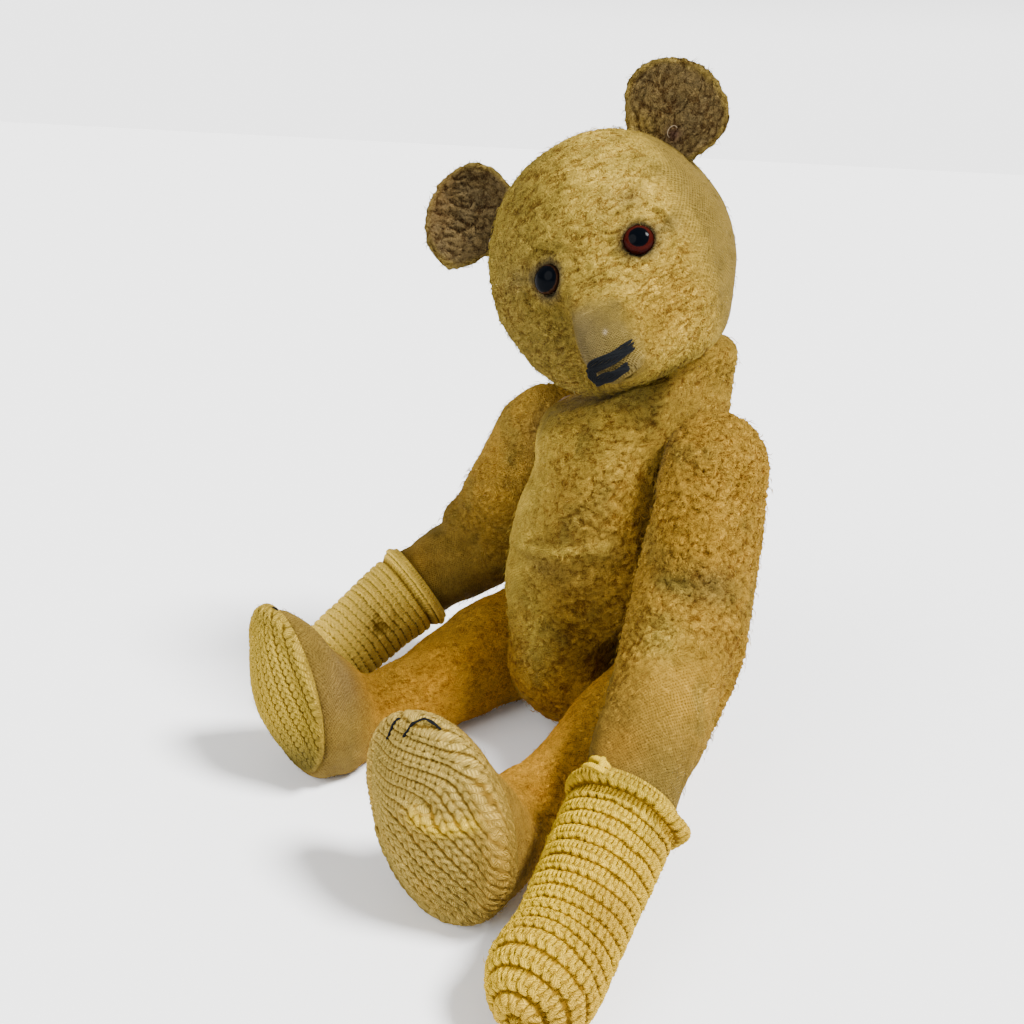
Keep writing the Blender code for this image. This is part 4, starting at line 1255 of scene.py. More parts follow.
def make_arms():
    """The arms: stuffed and creased, the left one worn bare over its wrist, the right one collapsed at its elbow."""
    c = colours()
    for side_name, side in SIDES:
        place = limb_frame("arm", side_name, side)
        cuff = ARM[side_name]["cuff"] + MITT_START
        creases = ARM_LINES[side_name]

        def shape(p):
            return press_flat(p, (side * GAP, 0, 0), (-side, 0, 0), 0.9)

        def seams(grid, s):
            flat = fade(4, 0.5, side * grid[..., 0])
            bands = np.exp(-(grid - grid.mean(axis=1, keepdims=True))[..., 1] ** 2 / 20) * 0.3
            return np.clip(np.maximum.reduce([flat, bands, fade(cuff - 8, cuff + 4, s)[:, None] + 0 * flat]), 0, 1)

        def sculpt(p):
            return 0.9 * mottle(p, 24, 50 + side) + 0.45 * mottle(p, 9, 53) + raised(p, ARM_SPOTS[side_name], creases)

        skin = Skin.stuffed(arm_form(side_name, side), 192, 150, shape,
                            busy=lambda s: 1 - 0.88 * fade(cuff + 4, cuff + 12, s), relax=dict(
                                rings=46, sides=26, pinned=seams, pressure=3.0, slack=0.04, cap=2.4, sink=0.4))
        skin.move(sculpt)
        p = skin.p
        down = flat_list(skin.over_rings(skin.s))
        wrist = fade(cuff - 62, cuff - 12, down)
        paint = Paint(p, c.gold)
        paint.wash(c.ochre, 0.55 * fade(0.0, 0.5, mottle(p, 26, 55)))
        paint.wash(c.olive, 0.5 * fade(0.1, 0.6, mottle(p, 13, 56)))
        if side > 0:
            paint.spot(c.ochre, 0.55, (34, -34, -20), (18, 16, 24))
            paint.scale(1 - 0.14 * patch(p, (27, -8, 16), (24, 24, 22)))
            paint.spot(c.pale, 0.5, (42, -56, -52), (14, 12, 9))
            # Painted shade: olive along the elbow crease, grey at its middle.
            paint.stroke(c.olive, 0.8, creases[0][1], 5.0)
            paint.spot(c.grime_and_shade, 0.35, (50, -36, -32), (9, 9, 7))
            paint.wash(c.bare * 0.70, wrist * 0.9)
            paint.spot(c.rust, 0.45, (54, -92, -80), (12, 12, 9))
            bald = 0.75 * patch(p, (60, -62, -66), (15, 20, 15)) + 0.62 * wrist
        else:
            paint.wash(c.olive, 0.15)
            paint.scale(1.15)
            paint.wash(c.bare, wrist * 0.7)
            paint.scale(1 - 0.36 * fade(-24, -60, p[:, 2]))
            paint.spot(c.rust, 0.35, (-52, -60, -76), (14, 14, 12))
            bald = 0.3 + 0.4 * wrist
        # Painted shade: grey on the inner face near the joint, where the arm meets the trunk.
        paint.spot(c.grime_and_shade, 0.5, (side * 2, -20, 6), (7, 14, 22))
        bald = np.clip(bald * (0.85 + 0.3 * mottle(p, 7, 57)), 0, 1)
        shows = 1 - fade(cuff - 3, cuff + 3, down)
        calm = fade(0.3, 5, side * p[:, 0]) * shows
        ahead = np.gradient(skin.grid.mean(axis=1), axis=0)
        lay = unit(flat_list(np.repeat(ahead[:, None], skin.sides, axis=1)))
        skin.p = skin.p - skin.out * ((1 - shows) * 0.8)[:, None]
        cloth = Cloth()
        coat(cloth, skin, paint.tone, lay, mm("curl") * 0.95, mm("rise") * (0.95 if side > 0 else 0.7), (1.0, 1.0, 1.0),
             bald, calm, 401 + side, 1500)
        piece = cloth.piece(f"{side_name}_arm_mohair", place, finish_for("mohair", mohair_finish))
        settle(piece, f"{side_name}_arm_body", f"{side_name}_arm")


def make_legs():
    """The legs: short pile over firm stuffing, flared at the foot to meet the sole, flat under the thigh."""
    c = colours()
    for side_name, side in SIDES:
        place = limb_frame("leg", side_name, side)
        ground = place[2, 3]
        start = SOLE[side_name]["start"]

        def shape(p):
            p = press_flat(p, (side * GAP, 0, 0), (-side, 0, 0), 0.9)
            return press_flat(p, (0, ground - 0.5, 0), (0, 1, 0), 0.6)

        def seams(grid, s):
            flat = fade(4, 0.5, side * grid[..., 0])
            bands = np.exp(-(grid - grid.mean(axis=1, keepdims=True))[..., 0] ** 2 / 20) * 0.4
            return np.clip(np.maximum.reduce([flat, bands, fade(150, 168, s)[:, None] + 0 * flat]), 0, 1)

        skin = Skin.stuffed(leg_form(side_name, side), 180, 156, shape,
                            busy=lambda s: 1 - 0.85 * fade(start + 2, start + 8, s), relax=dict(
                                rings=44, sides=28, pinned=seams, pressure=3.0, slack=0.04, cap=2.2, sink=0.4))
        along_leg = np.repeat(skin.s, skin.sides)

        def sculpt(p):
            before_cover = fade(-150, -140, p[:, 2]) if side > 0 else fade(start + 1, start - 1, along_leg)
            push = 0.9 * mottle(p, 26, 60 + side) + 0.3 * mottle(p, 9, 63)
            if side < 0:
                push += 2.0 * fade(8, 24, p[:, 1]) * fade(-104, -126, p[:, 2]) * before_cover
            push += (4.4 - 1.6 * fade(176, 182, along_leg)) * fade(-104, -124, p[:, 2]) * before_cover
            return push + raised(p, [(3.4, (side * 20, -22, -44), (26, 20, 26))],
                                 [(-1.4, [(side * 6, -14, -96), (side * 20, -10, -104), (side * 32, -6, -100)], 4.0)])

        skin.move(sculpt)
        p = skin.p
        down = flat_list(skin.over_rings(skin.s))
        foot = fade(138, 165, down)
        paint = Paint(p, c.rust)
        paint.wash(c.gold, 0.25 + 0.5 * mottle(p, 24, 64))
        # Painted light: the legs' mohair lightened to make up for the shade they lie in, the left one more.
        paint.scale(1.4 if side > 0 else 1.15)
        paint.wash(c.gold, 0.5 * fade(-8, -26, p[:, 1]) * fade(-30, -60, p[:, 2]) * (0.7 + 0.5 * mottle(p, 10, 65)))
        if side > 0:
            paint.wash(c.gold, 0.5 * foot)
            paint.wash(c.bare, 0.5 * foot)
            bald = 0.25 + 0.35 * foot
        else:
            paint.wash(c.bare * 0.85, 0.9 * foot)
            paint.spot((0.22, 0.14, 0.07), 0.45, (-8, -18, -132), (14, 14, 14))
            bald = 0.25 + 0.5 * foot
        paint.spot(c.grime_and_shade, 0.3, (side * 20, 18, -125), (26, 12, 30))
        bald = np.clip(bald * (0.8 + 0.35 * mottle(p, 8, 66)), 0, 1)
        shows = 1 - fade(start - 2, start + 3, down)
        calm = fade(0.3, 5, side * p[:, 0]) * shows * fade(0.4, 4, ground - p[:, 1])
        lay = np.tile([0.0, 0.15, -1.0], (len(p), 1))
        skin.p = skin.p - skin.out * ((1 - shows) * (0.8 if side > 0 else 1.6))[:, None]
        cloth = Cloth()
        coat(cloth, skin, paint.tone, lay, mm("nap"), mm("nap_rise"), (1, 1, 0.7), bald, calm, 501 + side, 1400, 1.9,
             0.3)
        piece = cloth.piece(f"{side_name}_leg_mohair", place, finish_for("mohair", mohair_finish))
        settle(piece, f"{side_name}_leg_body", f"{side_name}_leg")


# ---- crochet and knitting -----------------------------------------------------------------------------------
def loops(x, y, shapes, wide, tall):
    """Height of plump loops in a cell of a stitch: x and y run from 0 to 1 across and up it, wide by tall in mm.

    Each shape is (x, y, turn in radians, half length, half thickness, height). Also returns distances along and
    across the topmost loop, for its twist.
    """
    best, along, across = np.zeros_like(x), np.zeros_like(x), np.zeros_like(x)
    for cx, cy, turn, long, thick, lift in shapes:
        for dx in (-1, 0, 1):
            for dy in (-1, 0, 1):
                px, py = (x - cx - dx) * wide, (y - cy - dy) * tall
                a = px * math.cos(turn) + py * math.sin(turn)
                b = py * math.cos(turn) - px * math.sin(turn)
                height = lift * np.sqrt(np.clip(1 - np.abs(a / long) ** 2.6 - (b / thick) ** 2, 0, 1))
                top = height > best
                best = np.where(top, height, best)
                along, across = np.where(top, a, along), np.where(top, b, across)
    return best, along, across


# Each kind of stitch: its loops, its holes as (x, y, half width, half height, depth), and the groove between rows.
CROCHET = ([(0.23, 0.34, 1.50, 1.75, 0.74, 0.84), (0.73, 0.34, 1.66, 1.75, 0.74, 0.80),
            (0.5, 0.79, -0.12, 2.1, 0.92, 1.0)],
           [(0.02, 0.99, 0.85, 0.5, 0.45), (0.48, 0.42, 0.3, 0.5, 0.2)], 0.42)
SLANTED = ([(0.28, 0.32, 1.20, 1.7, 0.78, 0.82), (0.78, 0.34, 1.80, 1.6, 0.76, 0.78),
            (0.5, 0.76, -0.42, 2.3, 0.95, 1.0)],
           [(0.05, 0.98, 0.85, 0.55, 0.45), (0.5, 0.40, 0.35, 0.5, 0.2)], 0.34)
RIDGES = ([(0.25, 0.68, 1.45, 1.5, 0.85, 0.82), (0.75, 0.68, 1.70, 1.5, 0.85, 0.80), (0.5, 0.2, 0.04, 2.9, 0.92, 1.0)],
          [(0.0, 0.42, 0.6, 0.45, 0.4), (0.5, 0.97, 0.5, 0.45, 0.35)], 0.3)
CHAIN = ([(0.5, 0.27, -0.50, 2.6, 1.02, 0.94), (0.0, 0.75, 0.50, 2.7, 1.06, 1.0)],
         [(0.1, 0.02, 0.8, 0.6, 0.45), (0.25, 0.5, 0.7, 0.55, 0.35)], 0.25)


def stitched(share, *kinds):
    """Height, and twist coordinates, of two kinds of stitch mixed by share.

    A kind is how many stitches and rows along each point lies, a stitch's width and height, and its loops and holes.
    """
    found = []
    for u, v, wide, tall, (shapes, holes, groove) in kinds:
        x, y = u - np.floor(u), v - np.floor(v)
        height, along, across = loops(x, y, shapes, wide, tall)
        height = 0.3 + 0.7 * height - groove * np.exp(-(((y + 0.53) % 1 - 0.5) * tall / 0.6) ** 2)
        for hx, hy, half_wide, half_tall, depth in holes:
            dx, dy = ((x - hx + 0.5) % 1 - 0.5) * wide, ((y - hy + 0.5) % 1 - 0.5) * tall
            height = height - depth * np.exp(-(dx / half_wide) ** 2 - (dy / half_tall) ** 2)
        found.append((np.clip(height, 0, 1), along, across))
    (low, low_a, low_b), (high, high_a, high_b) = found
    return low * (1 - share) + high * share, np.where(share > 0.5, high_a, low_a), np.where(share > 0.5, high_b, low_b)


def shell(form, start, inner, outer, roll, rings, sides, inside=12):
    """Rings of a thin cover over the end of a form: up its inside, over a rolled edge and down its outside.

    Also the way out of it and, for every ring, how far over the outside it is and whether it is outside.
    """
    inside_s, _ = form.stations(inside, low=start + 4)
    s, walked = form.stations(rings, low=start)
    bend = np.linspace(0, math.pi, 9)[1:-1]
    all_s = np.concatenate([inside_s[::-1], start - roll * np.sin(bend), s])
    lift = np.concatenate([np.full(len(inside_s), inner), inner + (outer - inner) * (1 - np.cos(bend)) / 2,
                           np.full(len(s), outer)])
    here, ahead, behind = (form.rings(np.clip(all_s + step, 0, form.whole), sides) for step in (0, 0.25, -0.25))
    out = np.cross(np.roll(here, -1, axis=1) - np.roll(here, 1, axis=1), ahead - behind)
    near_end = form.rings(np.array([form.whole - 2.0]), sides)[0].mean(axis=0)
    for end in (0, -1):
        out[end] = here[end].mean(axis=0) - near_end
    out = unit(out)
    walked = np.concatenate([np.full(len(inside_s), -1.0), 0 * bend, walked - walked[0]])
    outside = np.concatenate([np.zeros(len(inside_s)), 0 * bend, np.ones(len(s))])
    return here + out * lift[:, None, None], out, walked[:, None], outside[:, None]


def add_cover(cloth, grid, out, tone, height, lie, lint, count, seed, long=2.2):
    """Adds a cover to a piece, and this many hairs of lint, most where lint is highest."""
    points, out, tone = flat_list(grid), flat_list(out), flat_list(tone)
    cloth.add(points, *net(len(grid) - 1, grid.shape[1]), tone=tone, pile=flat_list(height), lie=flat_list(lie),
              thread=points)
    along = unit(np.cross(out, [0.3, 0.5, 0.8]))
    add_hairs(cloth, points, out, along, tone, flat_list(lint) + 1e-9, count, long, 0.075, seed, 0.45)


MITT_START = 24  # how far past its cuff an arm's mohair stops
# Each mitt: how far it goes up over the mohair, its rows and stitches against the chosen sizes, how matted it is, how
# far its rows stand out straight and slanting, and how fine its mesh is.
MITT = {
    "left": {"over": 4.5, "row": 1.0, "stitch": 1.0, "matted": 0.0, "rows_out": (0.9, 0.55), "mesh": (110, 344)},
    "right": {"over": 2.0, "row": 0.72, "stitch": 0.85, "matted": 0.22, "rows_out": (0.3, 0.3), "mesh": (134, 280)},
}


def make_mitts():
    """The mitts: crochet in rounds over the paws, the left one knotted at its cuff, the right one frayed."""
    c = colours()
    for side_name, side in SIDES:
        knit = MITT[side_name]
        start = ARM[side_name]["cuff"] + MITT_START - knit["over"]
        grid, out, walked, outside = shell(arm_form(side_name, side), start, 0.5, 2.5, 2.2, *knit["mesh"])
        tall, wide = mm("row") * knit["row"], mm("stitch") * knit["stitch"]
        turn = round_turn(grid.shape[1])
        v = (walked + 0.7 + 1.3 * mottle(grid, 22, 70 + side) * fade(2, 14, walked)) / tall
        number = np.floor(v)
        around = np.linalg.norm(np.roll(grid, -1, 1) - grid, axis=-1).sum(axis=1, keepdims=True)
        length = np.interp((number + 0.5) * tall, walked[outside > 0], around[outside > 0])
        count = np.maximum(np.round(length / wide), 5)
        u = turn / (2 * math.pi) * count + number * 0.37 + 0.3 * mottle(grid, 6, 72)
        v = v + 0.1 * mottle(grid, 4, 79)
        slanting = fade(0.4, 0.6, 0.1 + 0.45 * np.cos(turn + 0.6 * side) + 0.3 * mottle(grid, 12, 73)
                        + 0.8 * fade(34, 56, walked))
        height, a, b = stitched(slanting, (u, v, wide, tall, CROCHET), (u, v, wide, tall, SLANTED))
        height = height * (1 + 0.16 * drift(grid, 3, 74))
        height = knit["matted"] + (1 - knit["matted"]) * height
        straight_out, slanting_out = knit["rows_out"]
        bulge = np.sin(math.pi * (v - np.floor(v))) ** 0.7 - 0.7
        edge, under = np.exp(-((walked - 2.0) / 2.8) ** 2), np.exp(-((walked - 7.0) / 1.8) ** 2)
        push = mm("yarn") * 1.1 * (height - 0.6) + (straight_out + (slanting_out - straight_out) * slanting) * bulge
        push += 1.7 * edge - 1.1 * under + 0.8 * mottle(grid, 20, 75) - 0.2
        paint = Paint(grid, c.mitt)
        paint.wash(c.gold, 0.45 * fade(-0.1, 0.6, mottle(grid, 26, 77)))
        paint.wash(c.olive, 0.4 * fade(0.15, 0.7, mottle(grid, 14, 78)))
        if side > 0:
            push += 2.4 * fade(walked[-1] - 44, walked[-1] - 16, walked)
            push += raised(grid, [(3.4, (79.5, -80, -105), (7, 8, 8)), (2.8, (52, -98, -84), (6, 8, 7)),
                                  (-1.0, (60, -108, -84), (9, 5, 7))])
            paint.wash(c.gold, 0.5 * fade(0, 18, (grid - (72, -110, -100)) @ (0.7, 0.2, -0.6)))
            paint.spot(c.olive, 0.55, (66, -96, -90), (14, 12, 10))
        else:
            frayed = patch(grid, (-45.5, -80.3, -103), (7, 9, 8)) * fade(-0.2, 0.3, drift(grid, 5, 76))
            push -= 1.3 * frayed
            height = height * (1 - 0.7 * frayed)
            paint.wash(c.sole, 0.75)
            # Painted light: the right mitt's tan yarn lightened to make up for the shade it lies in.
            paint.scale(1.9)
        # Painted shade: less pile height, so darker yarn, in the groove under the rolled cuff.
        height = height * (1 - 0.6 * under)
        cloth = Cloth()
        add_cover(cloth, grid + out * (push * outside)[..., None], out, paint.tone, np.where(outside > 0, height, 0.5),
                  np.stack([a, b, v * 3.1], axis=-1), outside * (height > 0.5), 450, 601 + side)
        if side > 0:
            add_knot(cloth, c.mitt * 1.1)
        piece = cloth.piece(f"{side_name}_mitt_crochet", limb_frame("arm", side_name, side),
                            finish_for("crochet_cotton", yarn_finish))
        settle(piece, f"{side_name}_arm_body", f"{side_name}_mitt")


def add_knot(cloth, tone):
    """The pulled end of the cotton, knotted at the top of the left cuff."""
    for path in ([(51, -98, -90), (50, -99, -86), (53, -100, -83.5), (57, -100, -83), (60, -99, -85)],
                 [(50, -102, -91), (50.5, -103, -87), (54, -103.5, -84.5), (58.5, -103, -84), (62, -101, -85.5)],
                 [(53, -96, -88), (54, -97, -84.5), (57, -100.5, -82.5), (59, -104, -85)]):
        strand(cloth, smooth_path(path, 26), 1.35, tone=tone, pile=np.array([0.95]))


# Each sole: where it starts down the leg, the height of its rows and the width of its stitches against the chosen
# sizes, the width and height of a chain's cell, how wide its plain rim is, how wide and strong the rim's colour is,
# how flat it is underfoot and how far its heel stands out.
SOLE = {
    "left": {"start": 173, "rib": 0.85, "loop": 0.85, "chain": (1, 1.5), "rim": 6.0, "border": (12, 0.9),
             "underfoot": 0.3, "heel": 3.5},
    "right": {"start": 182, "rib": 1.06, "loop": 0.76, "chain": (0.88, 1.1), "rim": 1.0, "border": (1.5, 0.4),
              "underfoot": 0.95, "heel": 0.5},
}
WALL = 17  # how far the knitting goes down the side of the foot before it turns in under the pad


def make_soles():
    """The soles: knitted over the pads in ridges that turn into chains, felted under the heels."""
    c = colours()
    rib, loop = mm("rib"), mm("loop")
    for side_name, side in SIDES:
        knit = SOLE[side_name]
        grid, out, walked, outside = shell(leg_form(side_name, side), knit["start"], -0.35, 2.6, 0.8, 78, 288, 8)
        wall = walked + knit["start"] - SOLE["left"]["start"]
        edge = grid[np.argmax(wall > WALL)]
        folded = (np.maximum(WALL - wall, 0) * outside)[..., None]
        spread = np.where(folded > 0, edge + unit((edge - edge.mean(axis=0)) * (1, 1, 0)) * folded, grid)
        x, up = spread[..., 0], -spread[..., 1]
        back = grid[..., 1]
        if side > 0:
            chained = x + 16 - 1.2 * up
            course = up - 0.1 * x + 0.41 * 3 * np.logaddexp(0, chained / 3) + 0.4 * 4 * np.logaddexp(0, (x - 27) / 4)
            ridge_u, chain_u = x, 0.78 * x - 0.62 * up
        else:
            chained = 40 + 0 * x
            course = 0.95 * x + 0.12 * up + 0.5 * 6 * np.logaddexp(0, (up - 16) / 6)
            ridge_u, chain_u = -up, -up + 0.15 * x
        along = 0.6 * mottle(grid, 7, 81)
        v = (course + 1.2 * mottle(grid, 14, 80)) / (rib * knit["rib"])
        ridge_u, chain_u = ((u + along) / (loop * knit["loop"]) for u in (ridge_u, chain_u))
        wide, tall = knit["chain"]
        height, a, b = stitched(fade(-2, 4, chained), (ridge_u, v, loop, rib, RIDGES),
                                (chain_u, v, loop * wide, rib * tall, CHAIN))
        rim = fade(0.3, knit["rim"], walked)
        knitted = 1 - 0.75 * patch(grid, (6 * side, 34, -150), (30, 14, 14))
        if side > 0:
            knitted = knitted * (1 - 0.2 * fade(30, 44, x))
        push = mm("yarn") * 0.76 * (height - 0.6) * rim * knitted + 0.7 * mottle(grid, 16, 82) * rim
        push += 2.7 * fade(WALL, 6, wall) * (1 - knit["underfoot"] * fade(8, 28, back))
        push += 4.5 * fade(14, 40, wall) - 1.4 * np.exp(-((wall - 13) / 4) ** 2)
        push += knit["heel"] * patch(grid, (6 * side, 22, -150), (30, 24, 24))
        paint = Paint(grid, c.sole)
        paint.wash(c.gold, 0.35 * fade(0.0, 0.6, mottle(grid, 18, 83)))
        paint.wash(c.olive, 0.55 * patch(grid, (-12 * side, 20, -150), (16, 20, 20))
                   + 0.3 * fade(0.2, 0.8, mottle(grid, 9, 84)))
        if side > 0:
            lump = line_mask(grid, [(17, -21, -154), (26, -19, -154), (37, -23, -152)], 3.2)
            push += 1.6 * lump - 1.2 * line_mask(grid, [(10, -27, -154), (17, -26.5, -154), (24, -25, -154)], 2.2)
            paint.wash(c.gold * 0.85, 0.75 * fade(30, 48, grid[..., 0]))
            paint.wash(c.mitt, 0.6 * lump)
            paint.scale(1 - 0.34 * fade(2, 32, back))
        else:
            paint.wash(c.mitt, 0.45)
            paint.wash(c.olive, 0.25 + 0.7 * fade(-12, 20, back))
            paint.scale((1 - 0.22 * fade(19, 12, wall)) * (1 - 0.25 * fade(4, 30, back)))
        border, strength = knit["border"]
        paint.wash((c.bare + c.gold) * 0.45, strength * (1 - fade(0, border, walked)))
        knitted = knitted * rim
        cloth = Cloth()
        add_cover(cloth, grid + out * (push * outside)[..., None], out, paint.tone,
                  np.where(outside > 0, (0.12 + 0.88 * height) * knitted + 0.7 * (1 - knitted), 0.6),
                  np.stack([a, b, v * 3.1], axis=-1), outside * (0.3 + 2.0 * (1 - rim)) + 0 * x, 650, 701 + side, 1.8)
        piece = cloth.piece(f"{side_name}_sole_knit", limb_frame("leg", side_name, side),
                            finish_for("sole_wool", yarn_finish))
        settle(piece, f"{side_name}_leg_body", f"{side_name}_sole")


# The CAD node of each claw stitch, and its points: x and z over the toe and the height off it.
CLAWS = {
    "left": {"left_claw_thread_1": [(4, -152, 0.2), (7, -150.5, 1.5), (11, -148.5, 1.9), (15, -147.5, 1.3),
                                    (17.5, -147, 0.2)],
             "left_claw_thread_2": [(-4.5, -151.6, 0.2), (-2, -150.6, 1.2), (-0.5, -149, 0.3)]},
    "right": {"right_claw_thread_1": [(-27, -150.4, 0.2), (-22, -149.3, 1.1), (-17, -147.6, 1.1), (-13, -145, 0.2)]},
}


def make_claws():
    """Stray black claw stitches: each a slack thread lifted off the top of the toe between two holes."""
    for side_name, side in SIDES:
        place = limb_frame("leg", side_name, side)
        toe = touch_tree(bpy.data.objects[f"{side_name}_sole_knit"].data)
        for node, path in CLAWS[side_name].items():
            lifted = []
            for x, z, lift in path:
                hit, _, _, _ = toe.ray_cast(Vector(placed(np.array([x, -90.0, z]), place)), Vector(DOWN))
                lifted.append(np.array(hit) + (0, 0, lift))
            cloth = Cloth()
            for k, off in enumerate((-0.3, 0.3)):
                cord = smooth_path(lifted, 40) + np.array([0.2, 0.6, 0]) * off
                cord[:, 2] += 0.2 * np.sin(np.linspace(0, 22, 40) + math.pi * k)
                strand(cloth, cord, 0.38)
            piece = cloth.piece(node.replace("thread", "stitch"), np.eye(4), black_thread())
            settle(piece, f"{side_name}_leg_body", node)


def make_joints():
    """The discs, washers, pins and eye loops keep their shapes and get old board and dull steel."""
    c = colours()
    board = finish_for("joint_board", board_finish, (*c.board, 1))
    steel = finish_for("joint_steel", steel_finish, (*c.steel, 1))
    for name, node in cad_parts.items():
        for ending, finish in (("_disc", board), ("_washer", steel), ("_split_pin", steel), ("_shank", steel)):
            if name.endswith(ending):
                for material_slot in node.material_slots:
                    material_slot.material = finish


# ---- studio -------------------------------------------------------------------------------------------------
CAMERA = {"azimuth": 48, "elevation": 20, "roll": 3, "aim": (0, 0, 120), "left": 51, "down": 7, "off": 490,
          "lens": 36.5625, "sensor": 36}
FLOOR_HALF = 30.0  # metres from the middle of the floor to its edges
# Each lamp: its name, where it stands, how many degrees wide its light is and how strong.
LAMPS = (("key", (0.75, 0.35, 1.25), 16, 10.4), ("front", (0.0, -1.3, 0.9), 45, 2.8))


def make_camera():
    """The camera: beyond the bear's left foot and a little above it, tipped three degrees."""
    azimuth, elevation, roll = (math.radians(CAMERA[name]) for name in ("azimuth", "elevation", "roll"))
    back = Vector((math.sin(azimuth) * math.cos(elevation), -math.cos(azimuth) * math.cos(elevation),
                   math.sin(elevation)))
    right = Vector((math.cos(azimuth), math.sin(azimuth), 0))
    top = back.cross(right)
    right, top = right * math.cos(roll) + top * math.sin(roll), top * math.cos(roll) - right * math.sin(roll)
    place = Matrix((right, top, back)).transposed().to_4x4()
    place.translation = (Vector(CAMERA["aim"]) - right * CAMERA["left"] - top * CAMERA["down"]
                         + back * CAMERA["off"]) * MM
    camera = bpy.data.objects.new("camera", bpy.data.cameras.new("camera"))
    camera.matrix_world = place
    camera.data.sensor_width, camera.data.lens = CAMERA["sensor"], CAMERA["lens"]
    camera.data.clip_start, camera.data.clip_end = 0.01, 20
    bpy.context.scene.collection.objects.link(camera)
    bpy.context.scene.camera = camera


def make_floor():
    """A wide floor of plain paper."""
    recipe = Recipe("studio_floor", Roughness=0.9, Specular_IOR_Level=0.1)
    grain = recipe.grain(recipe.place(), 60.0, 2.0)
    mesh = bpy.data.meshes.new("floor")
    corners = [(x * FLOOR_HALF, y * FLOOR_HALF, 0) for x, y in ((-1, -1), (1, -1), (1, 1), (-1, 1))]
    mesh.from_pydata(corners, [], [(0, 1, 2, 3)])
    mesh.materials.append(recipe.ready(Base_Color=recipe.scaled((*colours().floor, 1), grain * 0.02 + 0.98)))
    floor = bpy.data.objects.new("floor", mesh)
    bpy.context.scene.collection.objects.link(floor)


def make_studio():
    """The camera, the floor, a white room brighter round its foot than overhead, and two lamps."""
    make_camera()
    make_floor()
    world = bpy.data.worlds.new("studio")
    world.use_nodes = True
    nodes, links = world.node_tree.nodes, world.node_tree.links
    at, height, glow = (nodes.new(f"ShaderNode{kind}") for kind in ("TexCoord", "SeparateXYZ", "MapRange"))
    glow.interpolation_type = "SMOOTHSTEP"
    for socket, value in (("From Min", 0.08), ("From Max", 0.22), ("To Min", 3.2), ("To Max", 0.7)):
        glow.inputs[socket].default_value = value
    links.new(at.outputs["Generated"], height.inputs[0])
    links.new(height.outputs["Z"], glow.inputs["Value"])
    links.new(glow.outputs[0], nodes["Background"].inputs["Strength"])
    nodes["Background"].inputs["Color"].default_value = (1, 1, 1, 1)
    bpy.context.scene.world = world
    for name, spot, spread, strength in LAMPS:
        lamp = bpy.data.lights.new(name, "SUN")
        lamp.angle, lamp.energy = math.radians(spread), strength
        obj = bpy.data.objects.new(name, lamp)
        obj.location = spot
        obj.rotation_euler = (-Vector(spot)).to_track_quat("-Z", "Y").to_euler()
        bpy.context.scene.collection.objects.link(obj)


# ---- operators ----------------------------------------------------------------------------------------------
class BEAR_OT_trunk(bpy.types.Operator):
    """Make the trunk's mohair"""

    bl_idname = "bear.trunk"
    bl_label = "Trunk"

    def execute(self, context):
        make_trunk()
        return {"FINISHED"}


class BEAR_OT_head(bpy.types.Operator):
    """Make the head's mohair"""

    bl_idname = "bear.head"
    bl_label = "Head"

    def execute(self, context):
        make_head()
        return {"FINISHED"}


class BEAR_OT_ears(bpy.types.Operator):
    """Make both ears"""

    bl_idname = "bear.ears"
    bl_label = "Ears"

    def execute(self, context):
        make_ears()
        return {"FINISHED"}


class BEAR_OT_eyes(bpy.types.Operator):
    """Make both glass eyes"""

    bl_idname = "bear.eyes"
    bl_label = "Eyes"

    def execute(self, context):
        make_eyes()
        return {"FINISHED"}


class BEAR_OT_nose(bpy.types.Operator):
    """Stitch what is left of the nose"""

    bl_idname = "bear.nose"
    bl_label = "Nose"

    def execute(self, context):
        make_nose()
        return {"FINISHED"}


class BEAR_OT_arms(bpy.types.Operator):
    """Make both arms' mohair"""

    bl_idname = "bear.arms"
    bl_label = "Arms"

    def execute(self, context):
        make_arms()
        return {"FINISHED"}


class BEAR_OT_mitts(bpy.types.Operator):
    """Crochet both mitts"""

    bl_idname = "bear.mitts"
    bl_label = "Mitts"

    def execute(self, context):
        make_mitts()
        return {"FINISHED"}


class BEAR_OT_legs(bpy.types.Operator):
    """Make both legs' mohair"""

    bl_idname = "bear.legs"
    bl_label = "Legs"

    def execute(self, context):
        make_legs()
        return {"FINISHED"}


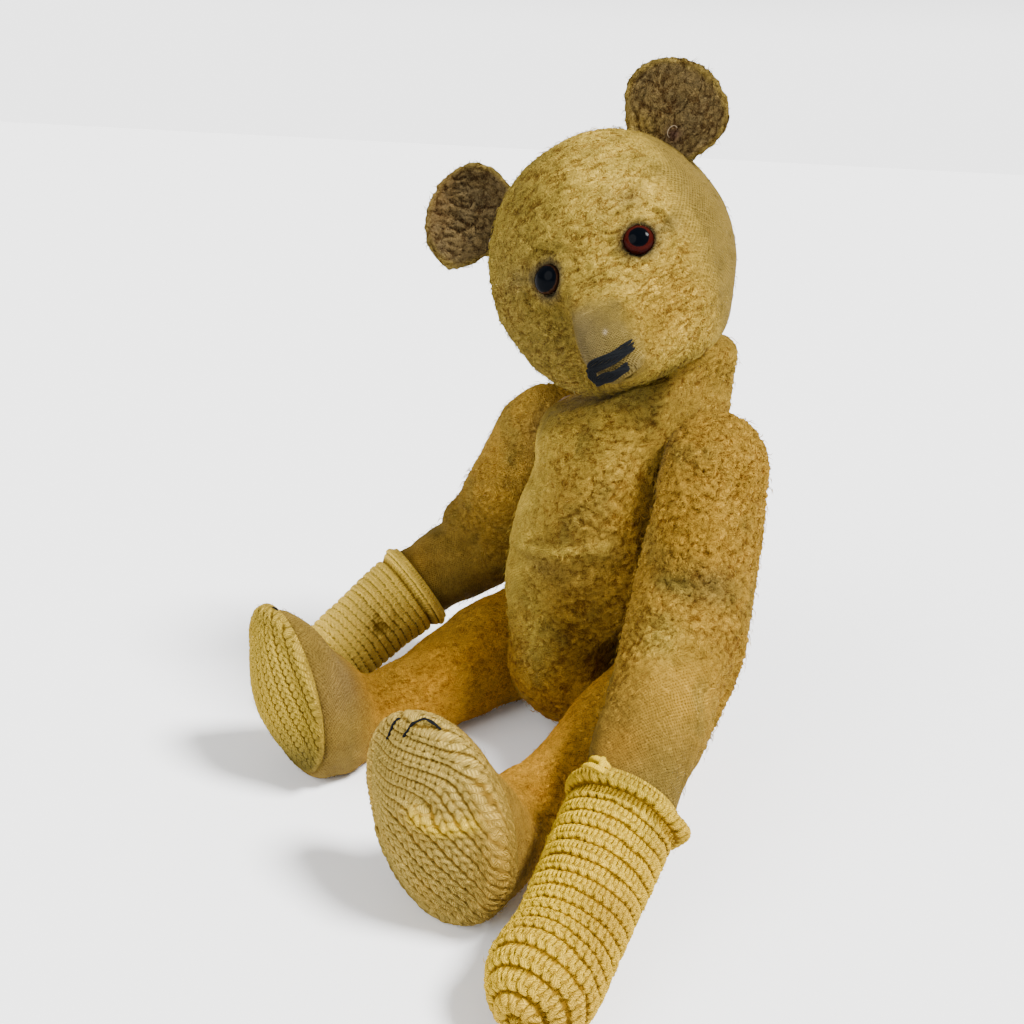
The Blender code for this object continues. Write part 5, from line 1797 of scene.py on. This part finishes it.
class BEAR_OT_soles(bpy.types.Operator):
    """Knit both soles"""

    bl_idname = "bear.soles"
    bl_label = "Soles"

    def execute(self, context):
        make_soles()
        return {"FINISHED"}


class BEAR_OT_claws(bpy.types.Operator):
    """Stitch the claws that are left"""

    bl_idname = "bear.claws"
    bl_label = "Claw stitches"

    def execute(self, context):
        make_claws()
        return {"FINISHED"}


class BEAR_OT_joints(bpy.types.Operator):
    """Finish the discs, washers, pins and eye loops inside"""

    bl_idname = "bear.joints"
    bl_label = "Joints"

    def execute(self, context):
        make_joints()
        return {"FINISHED"}


class BEAR_OT_stage(bpy.types.Operator):
    """Set up the floor, the lights and the camera"""

    bl_idname = "bear.stage"
    bl_label = "Studio"

    def execute(self, context):
        make_studio()
        return {"FINISHED"}


OPERATORS = (BEAR_OT_stage, BEAR_OT_trunk, BEAR_OT_head, BEAR_OT_ears, BEAR_OT_eyes, BEAR_OT_nose, BEAR_OT_arms,
             BEAR_OT_mitts, BEAR_OT_legs, BEAR_OT_soles, BEAR_OT_claws, BEAR_OT_joints)


class BEAR_PT_panel(bpy.types.Panel):
    """Sizes, colours and the steps that make the bear"""

    bl_label = "Worn Teddy Bear"
    bl_idname = "BEAR_PT_panel"
    bl_space_type = "VIEW_3D"
    bl_region_type = "UI"
    bl_category = "Bear"

    def draw(self, context):
        for group in (context.scene.bear_sizes, context.scene.bear_colours):
            box = self.layout.box()
            for name in group.__annotations__:
                box.prop(group, name)
        for step in OPERATORS:
            self.layout.operator(step.bl_idname)


CLASSES = (BearColours, BearSizes, *OPERATORS, BEAR_PT_panel)


def register():
    for made in CLASSES:
        bpy.utils.register_class(made)
    bpy.types.Scene.bear_colours = bpy.props.PointerProperty(type=BearColours)
    bpy.types.Scene.bear_sizes = bpy.props.PointerProperty(type=BearSizes)


def unregister():
    del bpy.types.Scene.bear_sizes
    del bpy.types.Scene.bear_colours
    for made in reversed(CLASSES):
        bpy.utils.unregister_class(made)


def main():
    register()
    for step in OPERATORS:
        getattr(bpy.ops.bear, step.bl_idname.split(".")[1])()


if __name__ == "__main__":
    main()
